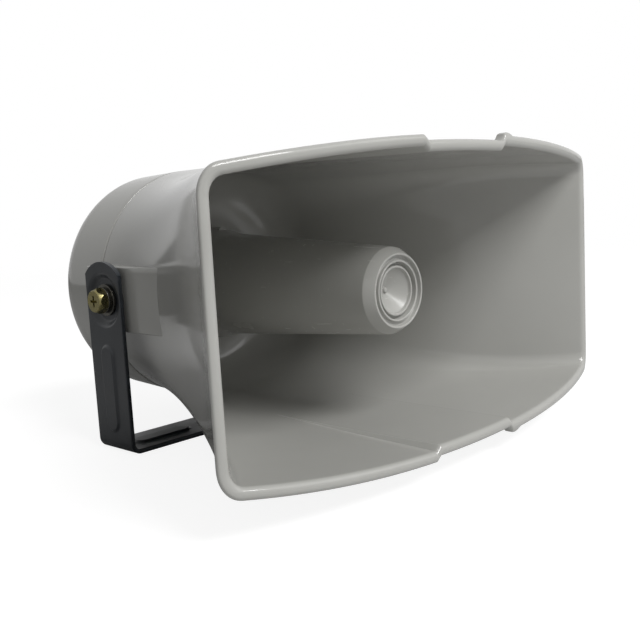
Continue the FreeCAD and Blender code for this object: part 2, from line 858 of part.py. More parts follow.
def driver_clamp_screws():
    """Screws that hold the front plate to the magnet."""
    screws = []
    length = plate_thickness - clamp_screw_head_height + clamp_screw_bite
    for angle in clamp_angles:
        across, up = on_circle(clamp_circle, angle)
        head = disc(clamp_screw_head_radius, clamp_screw_head_height - loose_clearance,
                    plate_front + loose_clearance, across, up)
        shank = disc(clamp_screw_radius, length, plate_front + clamp_screw_head_height, across, up)
        slot_length = 2 * clamp_screw_head_radius + 1
        slot = block(screw_slot_width, screw_cross_depth, slot_length, across, plate_front, up)
        screws.append(fuse_all(head, [shank]).cut(slot))
    return Part.makeCompound(screws)


def driver_mount_screws():
    """Screws through the driver's ears into the bell's bosses."""
    screws = []
    seat = plate_front + ear_thickness
    for angle in ear_angles:
        across, up = on_circle(ear_circle, angle)
        head = disc(mount_screw_head_radius, mount_screw_head_height, seat, across, up)
        length = ear_thickness + mount_screw_bite
        shank = disc(mount_screw_radius, length, plate_front - mount_screw_bite, across, up)
        recess = seat + mount_screw_head_height - screw_cross_depth
        screw = fuse_all(head, [shank])
        screws.append(with_cross(screw, screw_cross_length, screw_cross_width, across, recess, up))
    return Part.makeCompound(screws)


def tag_board():
    """Small insulating board on the driver's tab."""
    start = plate_front + ear_thickness
    board = block(2 * tag_inset, tag_board_thickness, 2 * tab_half_width, tab_reach - tag_inset, start, 0)
    for side in (-1, 1):
        board = board.cut(disc(tag_rivet_radius + slide_clearance, through, start - 1, tab_reach - tag_inset,
                               side * tag_spacing / 2))
    return board


def solder_tags():
    """Two tinned tags riveted through the board and the tab."""
    start = plate_front + ear_thickness + tag_board_thickness
    tags = []
    for side in (-1, 1):
        up = side * tag_spacing / 2
        foot = block(tag_foot_length, tag_thickness, tag_width, tab_reach - tag_inset, start, up)
        blade_across = tab_reach - tag_inset + tag_foot_length / 2 - tag_thickness / 2
        blade = block(tag_thickness, tag_height, tag_width, blade_across, start, up)
        stem_length = start + tag_thickness / 2 - plate_front
        stem = disc(tag_rivet_radius, stem_length, plate_front, tab_reach - tag_inset, up)
        tags.append(fuse_all(foot, [blade, stem]))
    return Part.makeCompound(tags)


def transformer_front():
    """Depth at which the transformer's feet sit."""
    return bell_length + transformer_boss_height


def transformer_core():
    """Stack of E and I laminations: outer frame with a middle limb and two windows."""
    start = transformer_front() + clamp_strip
    core = block(core_width, core_depth, core_stack, 0, start, transformer_height)
    middle = start + core_depth / 2
    for side in (-1, 1):
        across = side * (core_limb_width / 2 + core_window_width / 2)
        bottom = middle - core_window_height / 2
        core = core.cut(block(core_window_width, core_window_height, core_stack + 2, across, bottom,
                              transformer_height))
    return core


def transformer_bobbin():
    """Plastic bobbin on the middle limb: a square tube with a flange at each end."""
    middle = transformer_front() + clamp_strip + core_depth / 2
    length = core_window_height - 2 * slide_clearance
    start = middle - length / 2
    inner_width = core_limb_width + 2 * slide_clearance
    inner_height = core_stack + 2 * slide_clearance
    tube = block(inner_width + 2 * bobbin_wall, length, inner_height + 2 * bobbin_wall, 0, start,
                 transformer_height)
    flange_width = core_limb_width + 2 * core_window_width - 2 * slide_clearance
    flange_height = core_stack + 2 * winding_growth + 2 * bobbin_wall
    flanges = []
    for place in (start, start + length - bobbin_wall):
        flanges.append(block(flange_width, bobbin_wall, flange_height, 0, place, transformer_height))
    body = fuse_all(tube, flanges)
    return body.cut(block(inner_width, length + 2, inner_height, 0, start - 1, transformer_height))


def transformer_winding():
    """Copper winding between the bobbin's flanges."""
    middle = transformer_front() + clamp_strip + core_depth / 2
    length = core_window_height - 2 * bobbin_wall - 4 * slide_clearance
    start = middle - length / 2
    inner_width = core_limb_width + 2 * bobbin_wall + 4 * slide_clearance
    inner_height = core_stack + 2 * bobbin_wall + 4 * slide_clearance
    outer_width = core_limb_width + 2 * core_window_width - 6 * slide_clearance
    outer_height = core_stack + 2 * winding_growth
    coil = block(outer_width, length, outer_height, 0, start, transformer_height)
    return coil.cut(block(inner_width, length + 2, inner_height, 0, start - 1, transformer_height))


def transformer_clamp():
    """Steel strip bent over the core, with two screwed feet."""
    start = transformer_front()
    outer_width = core_width + 2 * clamp_strip
    height = core_stack - clamp_strip
    band = block(outer_width, core_depth + 2 * clamp_strip, height, 0, start, transformer_height)
    inside = block(core_width, core_depth, height + 2, 0, start + clamp_strip, transformer_height)
    gap = block(core_width - 4, clamp_strip + 2, height + 2, 0, start - 1, transformer_height)
    feet = []
    for side in (-1, 1):
        across = side * (core_width / 2 + clamp_strip + clamp_foot / 2)
        feet.append(block(clamp_foot + 0.5, clamp_strip, height, across, start, transformer_height))
    body = fuse_all(band.cut(inside).cut(gap), feet)
    for side in (-1, 1):
        across = side * (core_width / 2 + clamp_strip + clamp_foot / 2)
        body = body.cut(disc(transformer_screw_radius + loose_clearance, clamp_strip + 2, start - 1, across,
                             transformer_height))
    return body


def transformer_screws():
    """Screws through the clamp's feet."""
    screws = []
    seat = transformer_front() + clamp_strip
    bite = transformer_boss_height - 1.5
    for side in (-1, 1):
        across = side * (core_width / 2 + clamp_strip + clamp_foot / 2)
        head = disc(transformer_screw_head_radius, transformer_screw_head_height, seat, across,
                    transformer_height)
        shank = disc(transformer_screw_radius, bite + clamp_strip, seat - clamp_strip - bite, across,
                     transformer_height)
        slot = block(screw_slot_width, through, 2 * transformer_screw_head_radius + 1, across,
                     seat + transformer_screw_head_height / 2, transformer_height)
        screws.append(fuse_all(head, [shank]).cut(slot))
    return Part.makeCompound(screws)


def terminal_across(index):
    """Place of one terminal way across the block."""
    return terminal_pitch * (index - (terminal_way_count - 1) / 2)


def terminal_block():
    """Moulded block with a screw well and a wire hole for each way."""
    body = block(terminal_length, terminal_depth, terminal_thickness, 0, bell_length, -terminal_height)
    for index in range(terminal_way_count):
        across = terminal_across(index)
        body = body.cut(disc(terminal_well_radius, terminal_depth, bell_length + terminal_floor, across,
                             -terminal_height))
        underside = -terminal_height - terminal_thickness / 2
        below = Vector(across, bell_length + terminal_wire_height, underside - 1)
        hole = Part.makeCylinder(terminal_wire_hole_radius, terminal_thickness + 2, below, UP)
        body = body.cut(hole)
    for side in (-1, 1):
        across = side * (terminal_length / 2 - terminal_fixing_inset)
        body = body.cut(disc(terminal_fixing_radius + loose_clearance, terminal_depth + 2, bell_length - 1,
                             across, -terminal_height))
        body = body.cut(disc(terminal_fixing_head_radius + loose_clearance, terminal_depth,
                             bell_length + terminal_fixing_seat, across, -terminal_height))
    return body


def terminal_screws():
    """Clamping screws down in the block's wells."""
    screws = []
    for index in range(terminal_way_count):
        across = terminal_across(index)
        start = bell_length + terminal_floor
        screw = disc(terminal_screw_radius, terminal_screw_length, start, across, -terminal_height)
        slot = block(screw_slot_width, through, 2 * terminal_screw_radius + 1, across,
                     start + terminal_screw_length - screw_slot_width, -terminal_height)
        screws.append(screw.cut(slot))
    return Part.makeCompound(screws)


def terminal_fixing_screws():
    """Screws that hold the block to the rear wall."""
    screws = []
    for side in (-1, 1):
        across = side * (terminal_length / 2 - terminal_fixing_inset)
        seat = bell_length + terminal_fixing_seat
        head = disc(terminal_fixing_head_radius, terminal_fixing_head_height, seat, across,
                    -terminal_height)
        shank = disc(terminal_fixing_radius, terminal_fixing_seat + terminal_fixing_bite,
                     bell_length - terminal_fixing_bite, across, -terminal_height)
        screws.append(fuse_all(head, [shank]))
    return Part.makeCompound(screws)


def cover_gasket():
    """Flat sealing ring between the bell and the cover."""
    outer = bell_rear_radius - gasket_setback
    return ring(outer, outer - gasket_width, gasket_thickness, bell_length)


def cover_profile(inset):
    """Half profile of the domed cover, moved inward by an inset."""
    rim_radius = bell_rear_radius - inset
    end_radius = bell_rear_radius - cover_draft - inset
    edge = cover_edge_radius - inset
    back = cover_back - inset
    start = Vector(rim_radius, cover_front - (1 if inset else 0), 0)
    wall_end = Vector(end_radius, back - edge, 0)
    turn = math.radians(45)
    mid = Vector(end_radius - edge + edge * math.cos(turn), back - edge + edge * math.sin(turn), 0)
    crown_start = Vector(end_radius - edge, back, 0)
    crown_mid = Vector((end_radius - edge) / 2, back + cover_crown * 0.75, 0)
    tip = Vector(0, back + cover_crown, 0)
    bottom = Vector(0, start.y, 0)
    edges = [
        Part.makeLine(start, wall_end),
        Part.Arc(wall_end, mid, crown_start).toShape(),
        Part.Arc(crown_start, crown_mid, tip).toShape(),
        Part.makeLine(tip, bottom),
        Part.makeLine(bottom, start),
    ]
    return Part.Face(Part.Wire(edges)).revolve(Vector(0, 0, 0), BACK, 360)


def rear_cover():
    """Domed cover with four screw pockets and a flat seat for the cable gland."""
    outer = cover_profile(0.0)
    inner = cover_profile(cover_wall)
    columns = []
    for angle in cover_post_angles:
        across, up = on_circle(cover_post_circle, angle)
        start = bell_length + bell_post_height
        columns.append(disc(cover_post_radius, cover_back - start - 2, start, across, up).common(outer))
    shell = fuse_all(outer.cut(inner), columns)
    seat_length = cover_wall + gland_boss_height + 2
    shell = shell.fuse(disc(gland_boss_radius, seat_length, gland_face - seat_length, 0, -gland_drop))
    shell = shell.removeSplitter()
    for angle in cover_post_angles:
        across, up = on_circle(cover_post_circle, angle)
        shell = shell.cut(disc(cover_screw_radius + loose_clearance, cover_depth, bell_length, across, up))
        shell = shell.cut(disc(cover_well_radius, cover_depth, cover_seat, across, up))
    pocket_depth = gland_boss_radius / 2
    pocket = disc(gland_boss_radius, pocket_depth, gland_wall_inside() - pocket_depth, 0, -gland_drop)
    shell = shell.cut(pocket)
    gland_hole = disc(gland_thread_radius + slide_clearance, cover_depth, cover_seat, 0, -gland_drop)
    return shell.cut(gland_hole)


def cover_screws():
    """Long screws down the cover's pockets."""
    screws = []
    shank_start = bell_length + bell_post_height - cover_screw_bite
    for angle in cover_post_angles:
        across, up = on_circle(cover_post_circle, angle)
        head = disc(cover_screw_head_radius, cover_screw_head_height, cover_seat, across, up)
        shank = disc(cover_screw_radius, cover_seat - shank_start, shank_start, across, up)
        recess = cover_seat + cover_screw_head_height - screw_cross_depth
        screw = fuse_all(head, [shank])
        screws.append(with_cross(screw, screw_cross_length, screw_cross_width, across, recess, up))
    return Part.makeCompound(screws)


def gland_wall_inside():
    """Depth of the cover's inner face around the gland."""
    return cover_back - cover_wall - gland_pocket_depth


def gland_seal_start():
    """Depth at which the seal sits in the gland's sleeve."""
    return gland_face + gland_hex_thickness + gland_sleeve_length - gland_seal_seat_depth


def gland_body():
    """Gland body: threaded stem through the cover, hexagon outside and a sleeve for the seal."""
    stem_start = gland_wall_inside() - gland_locknut_thickness - gland_stem_past_locknut
    stem = disc(gland_thread_radius, gland_face - stem_start, stem_start, 0, -gland_drop)
    hexagon_part = hexagon(gland_hex, gland_hex_thickness, Vector(0, gland_face, -gland_drop), BACK)
    sleeve = disc(gland_nut_radius - gland_nut_wall - slide_clearance, gland_sleeve_length,
                  gland_face + gland_hex_thickness, 0, -gland_drop)
    body = fuse_all(stem, [hexagon_part, sleeve])
    length = gland_face + gland_hex_thickness + gland_sleeve_length - stem_start
    body = body.cut(disc(gland_bore_radius, length + 2, stem_start - 1, 0, -gland_drop))
    seat_radius = gland_bore_radius + gland_seal_wall
    seal_seat = disc(seat_radius, gland_seal_seat_depth + 1, gland_seal_start(), 0, -gland_drop)
    return body.cut(seal_seat)


def gland_seal():
    """Rubber sleeve that grips a cable."""
    outer = gland_bore_radius + gland_seal_wall - slide_clearance
    return ring(outer, gland_bore_radius, gland_seal_thickness, gland_seal_start(), 0, -gland_drop)


def gland_nut():
    """Domed nut over the seal."""
    start = gland_face + gland_hex_thickness
    seal_end = gland_seal_start() + gland_seal_thickness
    end = start + gland_nut_length
    corners = [
        (gland_nut_radius - gland_nut_wall, start),
        (gland_nut_radius, start),
        (gland_nut_radius, end - 5),
        (gland_nut_radius - 1.2, end - 2),
        (gland_bore_radius + 1.6, end),
        (gland_bore_radius, end),
        (gland_bore_radius, seal_end),
        (gland_nut_radius - gland_nut_wall, seal_end),
    ]
    nut = revolve(corners)
    for index in range(gland_flute_count):
        across, up = on_circle(gland_nut_radius + gland_flute_offset, 360 * index / gland_flute_count)
        nut = nut.cut(disc(gland_flute_radius, gland_nut_length - 5, start - 1, across, up))
    nut.translate(Vector(0, 0, -gland_drop))
    return nut


def gland_locknut():
    """Flat nut on the gland's stem inside the cover."""
    start = gland_wall_inside() - gland_locknut_thickness
    nut = hexagon(gland_locknut_hex, gland_locknut_thickness, Vector(0, start, -gland_drop), BACK)
    return nut.cut(disc(gland_thread_radius + slide_clearance, gland_locknut_thickness + 2, start - 1, 0,
                        -gland_drop))


def bead(start, end, half, height):
    """Rounded raised bead along X with sloping flanks, standing up from Z = 0."""
    def outline(grow, level):
        radius = half + grow
        first, last = start, end
        edges = [
            Part.makeLine(Vector(first, radius, level), Vector(last, radius, level)),
            Part.Arc(Vector(last, radius, level), Vector(last + radius, 0, level),
                     Vector(last, -radius, level)).toShape(),
            Part.makeLine(Vector(last, -radius, level), Vector(first, -radius, level)),
            Part.Arc(Vector(first, -radius, level), Vector(first - radius, 0, level),
                     Vector(first, radius, level)).toShape(),
        ]
        return Part.Wire(edges)
    return Part.makeLoft([outline(0, 0), outline(-bead_draft, height)], True, True)


def bead_pair(start, end):
    """The bead as raised, and the hollow pressed behind it."""
    raised = bead(start, end, bead_half_width, bead_height)
    hollow = bead(start, end, bead_half_width - bead_hollow_inset, bead_height)
    hollow.translate(Vector(0, 0, -strap_thickness))
    return raised, hollow


def edges_across(solid, across, level):
    """Edges that run over the strap's whole width at one place across and one level."""
    edges = []
    for edge in solid.Edges:
        first, last = edge.Vertexes[0].Point, edge.Vertexes[-1].Point
        whole_width = abs(abs(first.y - last.y) - strap_width) < 0.01
        if whole_width and abs(first.x - across) < 0.01 and abs(first.z - level) < 0.01:
            edges.append(edge)
    return edges


def strap_profile():
    """Strap bent into a U, seen from the front, as a solid of the strap's width."""
    bottom = -pivot_height
    top = strap_end_radius
    outer_bend = strap_bend_radius + strap_thickness
    corner = Vector(0, -strap_width / 2, bottom)
    half = Part.makeBox(strap_outer, strap_width, pivot_height + top, corner)
    room = Part.makeBox(strap_inner, strap_width + 2, pivot_height + top,
                        corner + Vector(0, -1, strap_thickness))
    side = half.cut(room)
    side = side.makeFillet(outer_bend, edges_across(side, strap_outer, bottom))
    side = side.makeFillet(strap_bend_radius, edges_across(side, strap_inner, bottom + strap_thickness))
    rounding = Part.makeCylinder(strap_end_radius, strap_outer + 2, Vector(0, 0, 0), ACROSS)
    foot = Part.makeBox(strap_outer + 2, strap_width + 2, pivot_height, corner + Vector(0, -1, 0))
    return side.common(rounding.fuse(foot))


def bracket_side():
    """Right half of the bracket, about the pivot."""
    side = strap_profile()
    dish = Part.makeCone(dish_rim_radius, dish_floor_radius, dish_depth, Vector(0, 0, 0), ACROSS * -1)
    inside, outside = dish.copy(), dish.copy()
    inside.translate(ACROSS * strap_inner)
    outside.translate(ACROSS * strap_outer)
    side = side.fuse(inside).cut(outside)
    hole = Part.makeCylinder(bolt_hole_radius, strap_outer, Vector(1, 0, 0), ACROSS)
    side = side.cut(hole)
    raised, hollow = bead_pair(arm_bead_top + bead_half_width, arm_bead_bottom - bead_half_width)
    for shape in (raised, hollow):
        shape.rotate(Vector(0, 0, 0), BACK, 90)
        shape.translate(Vector(strap_outer, 0, 0))
    side = side.fuse(raised).cut(hollow)
    raised, hollow = bead_pair(base_bead_inner + bead_half_width, base_bead_outer - bead_half_width)
    for shape in (raised, hollow):
        shape.translate(Vector(0, 0, -pivot_height + strap_thickness))
    return side.fuse(raised).cut(hollow)


def bracket():
    """One-piece strap bracket: base with its mounting holes and two arms dished at the pivots."""
    right = bracket_side()
    body = right.fuse(mirrored(right)).removeSplitter()
    body = body.cut(Part.makeCylinder(base_centre_hole_radius, 6, Vector(0, 0, -pivot_height - 1), UP))
    for side in (-1, 1):
        centre = Vector(side * base_side_hole_spacing / 2, 0, -pivot_height - 1)
        body = body.cut(Part.makeCylinder(base_side_hole_radius, 6, centre, UP))
    body.translate(Vector(0, pivot_back, 0))
    return body


def threaded_insert():
    """Brass insert in the right pivot block."""
    start = Vector(boss_face, pivot_back, 0)
    length = insert_length - loose_clearance
    body = Part.makeCylinder(insert_radius - slide_clearance, length, start, ACROSS * -1)
    bore = Part.makeCylinder(bolt_radius + slide_clearance, insert_length + 2, start + ACROSS, ACROSS * -1)
    return body.cut(bore)


def flat_washer():
    """Washer on the right dish's floor."""
    start = Vector(boss_face + strap_thickness, pivot_back, 0)
    body = Part.makeCylinder(flat_washer_radius, flat_washer_thickness, start, ACROSS)
    return body.cut(Part.makeCylinder(bolt_radius + loose_clearance, 6, start - ACROSS, ACROSS))


def spring_washer():
    """Split washer under the bolt's head."""
    start = Vector(boss_face + strap_thickness + flat_washer_thickness, pivot_back, 0)
    body = Part.makeCylinder(spring_washer_radius, spring_washer_thickness, start, ACROSS)
    body = body.cut(Part.makeCylinder(bolt_radius + loose_clearance, 6, start - ACROSS, ACROSS))
    slit = Part.makeBox(6, spring_washer_slit, spring_washer_radius + 1,
                        start + Vector(-1, -spring_washer_slit / 2, 0))
    return body.cut(slit)


def pivot_bolt():
    """Hexagon bolt with a cross recess, screwed into the right insert."""
    seat = boss_face + strap_thickness + flat_washer_thickness + spring_washer_thickness
    centre = Vector(seat, pivot_back, 0)
    head = hexagon(bolt_head_across_flats, bolt_head_height, centre, ACROSS)
    wide, narrow = bolt_head_across_flats * 0.66, bolt_head_across_flats * 0.47
    head = head.common(Part.makeCone(wide, narrow, bolt_head_height, centre, ACROSS))
    shank = Part.makeCylinder(bolt_radius, seat - boss_face + bolt_bite, centre, ACROSS * -1)
    bolt = fuse_all(head, [shank])
    recess = seat + bolt_head_height - bolt_cross_depth
    upright = Part.makeBox(bolt_cross_depth + 1, bolt_cross_width, bolt_cross_length,
                           Vector(recess, pivot_back - bolt_cross_width / 2, -bolt_cross_length / 2))
    level = Part.makeBox(bolt_cross_depth + 1, bolt_cross_length, bolt_cross_width,
                         Vector(recess, pivot_back - bolt_cross_length / 2, -bolt_cross_width / 2))
    return bolt.cut(upright).cut(level)


def pair(shape):
    """A piece and its twin on the other side."""
    return Part.makeCompound([shape, mirrored(shape)])


def save(name, shape):
    """Move a shape from horn coordinates to the part's own frame and write it."""
    placed = shape.copy()
    placed.translate(Vector(0, -pivot_back, pivot_height))
    placed.exportStep("parts/" + name + ".step")
    print(name, len(placed.Solids), round(placed.Volume, 1), placed.isValid())


def main():
    os.makedirs("parts", exist_ok=True)
    save("horn_bell", horn_bell())
    save("reflector_cup", reflector_cup())
    save("cup_screws", cup_screws())
    save("throat_tube", throat_tube())
    save("throat_gasket", throat_gasket())
    save("driver_front_plate", driver_front_plate())
    save("phase_plug", phase_plug())
    save("diaphragm", diaphragm())
    save("diaphragm_ring", diaphragm_ring())
    save("voice_coil", voice_coil())
    save("top_plate", top_plate())
    save("magnet", magnet())
    save("yoke", yoke())
    save("driver_clamp_screws", driver_clamp_screws())
    save("driver_mount_screws", driver_mount_screws())
    save("tag_board", tag_board())
    save("solder_tags", solder_tags())
    save("transformer_core", transformer_core())
    save("transformer_bobbin", transformer_bobbin())
    save("transformer_winding", transformer_winding())
    save("transformer_clamp", transformer_clamp())
    save("transformer_screws", transformer_screws())
    save("terminal_block", terminal_block())
    save("terminal_screws", terminal_screws())
    save("terminal_fixing_screws", terminal_fixing_screws())
    save("cover_gasket", cover_gasket())
    save("rear_cover", rear_cover())
    save("cover_screws", cover_screws())
    save("gland_body", gland_body())
    save("gland_seal", gland_seal())
    save("gland_nut", gland_nut())
    save("gland_locknut", gland_locknut())
    save("bracket", bracket())
    save("threaded_inserts", pair(threaded_insert()))
    save("flat_washers", pair(flat_washer()))
    save("spring_washers", pair(spring_washer()))
    save("pivot_bolts", pair(pivot_bolt()))


main()
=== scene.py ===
import logging
import math
from dataclasses import dataclass, replace
from enum import Enum

import bpy
import numpy as np
from mathutils import Matrix


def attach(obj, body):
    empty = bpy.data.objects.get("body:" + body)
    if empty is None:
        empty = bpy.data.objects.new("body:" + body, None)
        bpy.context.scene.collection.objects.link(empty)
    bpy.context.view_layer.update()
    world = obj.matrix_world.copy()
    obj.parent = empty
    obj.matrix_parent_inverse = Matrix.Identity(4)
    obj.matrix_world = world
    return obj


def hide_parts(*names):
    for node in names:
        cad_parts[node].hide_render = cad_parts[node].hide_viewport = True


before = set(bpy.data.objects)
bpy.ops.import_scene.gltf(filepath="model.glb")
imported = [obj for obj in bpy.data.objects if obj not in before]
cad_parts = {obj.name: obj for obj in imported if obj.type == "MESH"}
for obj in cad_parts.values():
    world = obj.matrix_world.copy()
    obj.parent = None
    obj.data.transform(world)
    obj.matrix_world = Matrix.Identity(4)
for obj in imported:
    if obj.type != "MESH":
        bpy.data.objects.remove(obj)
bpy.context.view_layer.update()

log = logging.getLogger("horn")

MILLIMETRE = 0.001

# Radius of the small hole that a turned profile leaves round the axis, which a pole then closes.
POLE = 0.02

# Horn coordinates in millimetres, used by every shape below: X across, Y back from the middle of
# the rim, Z up from the horn's axis. The part's frame has its origin under the bracket's base.
PIVOT_BACK = 178.5
PIVOT_HEIGHT = 83.0

Array = np.ndarray
Material = bpy.types.Material
Socket = bpy.types.NodeSocket
Colour = tuple[float, float, float]


class Body(Enum):
    """The bodies that a piece can move with."""

    BRACKET = "bracket"
    HORN = "horn"


class Axis(Enum):
    """Direction of a round bar's length, as the index of its coordinate."""

    ACROSS = 0
    BACK = 1
    UP = 2


# Surfaces


def place(name: str, data: bpy.types.ID) -> bpy.types.Object:
    """New object of a mesh, lamp or camera, in the scene."""
    made = bpy.data.objects.new(name, data)
    bpy.context.scene.collection.objects.link(made)
    return made


class Surface:
    """Points, faces and wear weights of one piece while it is being worked out, in millimetres."""

    def __init__(self) -> None:
        """Start with no points."""
        self.points: list[Array] = []
        self.edge_weights: list[Array] = []
        self.faces: list[list[int]] = []
        self.count = 0

    def add_points(self, points: Array, edge: Array | float = 0.0) -> int:
        """Add points.

        Args:
            points: array whose last axis is X, Y, Z in horn coordinates.
            edge: how exposed to wear each point is, 0 to 1.

        Returns:
            Index of the first added point.
        """
        flat = points.reshape(-1, 3)
        self.points.append(flat)
        self.edge_weights.append(np.broadcast_to(np.asarray(edge, float), points.shape[:-1]).reshape(-1))
        self.count += len(flat)
        return self.count - len(flat)

    def add_grid(self, grid: Array, wrap_rows: bool = False, edge: Array | float = 0.0) -> Array:
        """Add a grid of points joined by quads, whose last column joins the first.

        Args:
            grid: array of rows, columns and coordinates.
            wrap_rows: whether the last row joins the first as well.
            edge: wear weight of each point, 0 to 1.

        Returns:
            The points' indices, rows by columns.
        """
        rows, columns = grid.shape[:2]
        index = self.add_points(grid, edge) + np.arange(rows * columns).reshape(rows, columns)
        full = np.concatenate([index, index[:, :1]], axis=1)
        if wrap_rows:
            full = np.concatenate([full, full[:1]])
        quads = np.stack([full[:-1, :-1], full[:-1, 1:], full[1:, 1:], full[1:, :-1]], axis=-1)
        self.faces.extend(quads.reshape(-1, 4).tolist())
        return index

    def add_pole(self, ring: Array, point: Array, first_side: bool) -> None:
        """Close a ring of points with triangles to one point.

        Args:
            ring: indices of the ring's points.
            point: coordinates of the pole.
            first_side: True where the pole comes before the ring in the grid's rows.
        """
        middle = np.full_like(ring, self.add_points(np.asarray(point, float).reshape(1, 3)))
        following = np.roll(ring, -1)
        order = [following, ring, middle] if first_side else [ring, following, middle]
        self.faces.extend(np.stack(order, axis=-1).tolist())

    def add_closed(self, grid: Array, start: Array, end: Array,
                   edge: Array | float = 0.0) -> None:
        """Add a tube-like grid closed by a pole at each end.

        Args:
            grid: array of rows, columns and coordinates.
            start: pole before the first row.
            end: pole after the last row.
            edge: wear weight of each point.
        """
        index = self.add_grid(grid, edge=edge)
        self.add_pole(index[0], start, True)
        self.add_pole(index[-1], end, False)

    def build(self, name: str, sharp_angle: float = 40.0) -> bpy.types.Object:
        """Make the Blender object, in metres in the part's frame, with its faces pointing outward.

        Args:
            name: the piece's name.
            sharp_angle: edges that turn more than this many degrees are shaded sharp.

        Returns:
            The new mesh object.
        """
        moved = (np.concatenate(self.points) + np.array([0.0, -PIVOT_BACK, PIVOT_HEIGHT])) * MILLIMETRE
        mesh = bpy.data.meshes.new(name)
        mesh.from_pydata(moved.tolist(), [], self.faces)
        mesh.validate()
        wear = mesh.attributes.new("edge", "FLOAT", "POINT")
        wear.data.foreach_set("value", np.concatenate(self.edge_weights).astype(np.float32))
        if signed_volume(mesh) < 0:
            mesh.flip_normals()
        shade(mesh, sharp_angle)
        return place(name, mesh)


def signed_volume(mesh: bpy.types.Mesh) -> float:
    """Volume enclosed by a mesh: the sum of the tetrahedra from the origin to each triangle.

    Args:
        mesh: a closed mesh.

    Returns:
        The volume, negative where the faces point inward.
    """
    mesh.calc_loop_triangles()
    corners = np.zeros(len(mesh.loop_triangles) * 3, np.int32)
    mesh.loop_triangles.foreach_get("vertices", corners)
    places = np.zeros(len(mesh.vertices) * 3)
    mesh.vertices.foreach_get("co", places)
    triangle = places.reshape(-1, 3)[corners].reshape(-1, 3, 3)
    return float(np.einsum("ij,ij->", triangle[:, 0], np.cross(triangle[:, 1], triangle[:, 2])) / 6)


def shade(mesh: bpy.types.Mesh, sharp_angle: float) -> None:
    """Shade a mesh smooth, with sharp edges where the surface turns more than an angle.

    Args:
        mesh: what is shaded.
        sharp_angle: the angle in degrees.
    """
    mesh.polygons.foreach_set("use_smooth", np.ones(len(mesh.polygons), bool))
    mesh.set_sharp_from_angle(angle=math.radians(sharp_angle))
    mesh.update()


def rounded_profile(corners: list[tuple[float, float, float]], steps: int = 5) -> Array:
    """Open profile through corners, each rounded by an arc that touches both its straight runs.

    Args:
        corners: both coordinates and the rounding radius of each corner.
        steps: straight pieces in each rounding.

    Returns:
        Array of profile points.
    """
    points = []
    for index, (first, second, radius) in enumerate(corners):
        corner = np.array([first, second])
        if radius <= 0 or index in (0, len(corners) - 1):
            points.append(corner[None])
            continue
        before = np.array(corners[index - 1][:2]) - corner
        after = np.array(corners[index + 1][:2]) - corner
        before /= np.linalg.norm(before)
        after /= np.linalg.norm(after)
        half = math.acos(float(np.clip(before @ after, -1, 1))) / 2
        bisector = (before + after) / np.linalg.norm(before + after)
        centre = corner + bisector * radius / math.sin(half)
        start = corner + before * radius / math.tan(half) - centre
        end = corner + after * radius / math.tan(half) - centre
        share = np.linspace(0, 1, steps + 1)[:, None]
        sweep = math.pi - 2 * half
        arc = (start * np.sin((1 - share) * sweep) + end * np.sin(share * sweep)) / math.sin(sweep)
        points.append(centre + arc)
    return np.concatenate(points)


def turned(profile: Array, segments: int = 96) -> Array:
    """Profile turned about the horn's axis: radius times the cosine and the sine of each angle.

    Args:
        profile: array of radii and depths.
        segments: flats round the axis.

    Returns:
        Grid of depth rows and angle columns.
    """
    turn = np.linspace(0, 2 * math.pi, segments, endpoint=False)
    radius, back = profile[:, :1], profile[:, 1:]
    return np.stack([radius * np.cos(turn), back + 0 * turn, radius * np.sin(turn)], axis=-1)


def bar(surface: Surface, centre: tuple[float, float, float], axis: Axis, radius: float, length: float,
        edge_radius: float = 0.0, segments: int = 48) -> None:
    """Add a round bar with softened ends to a surface.

    Args:
        surface: where the bar goes.
        centre: middle of the bar's first end.
        axis: direction of its length.
        radius: its radius.
        length: its length.
        edge_radius: rounding of both ends.
        segments: flats round the bar.
    """
    corners = [(POLE, 0, 0), (radius, 0, edge_radius), (radius, length, edge_radius), (POLE, length, 0)]
    order = {Axis.ACROSS: [1, 0, 2], Axis.BACK: [0, 1, 2], Axis.UP: [0, 2, 1]}[axis]
    start = np.array(centre, float)
    end = start.copy()
    end[axis.value] += length
    surface.add_closed(turned(rounded_profile(corners), segments)[..., order] + start, start, end)


def carve(piece: bpy.types.Object, bars: Surface, sharp_angle: float = 40.0,
          overlapping: bool = False) -> None:
    """Cut round bars out of a piece and shade it again.

    Args:
        piece: what is cut.
        bars: the bars that are cut away.
        sharp_angle: edges that turn more than this many degrees are shaded sharp.
        overlapping: whether the piece is made of closed forms that overlap each other.
    """
    cutter = bars.build(piece.name + "_cutter")
    modifier = piece.modifiers.new("carve", "BOOLEAN")
    modifier.object = cutter
    modifier.operation = "DIFFERENCE"
    modifier.solver = "EXACT"
    modifier.use_self = overlapping
    depsgraph = bpy.context.evaluated_depsgraph_get()
    carved = bpy.data.meshes.new_from_object(piece.evaluated_get(depsgraph))
    piece.modifiers.clear()
    piece.data = carved
    cutter_mesh = cutter.data
    bpy.data.objects.remove(cutter)
    bpy.data.meshes.remove(cutter_mesh)
    shade(carved, sharp_angle)


# Node graphs and shared effects


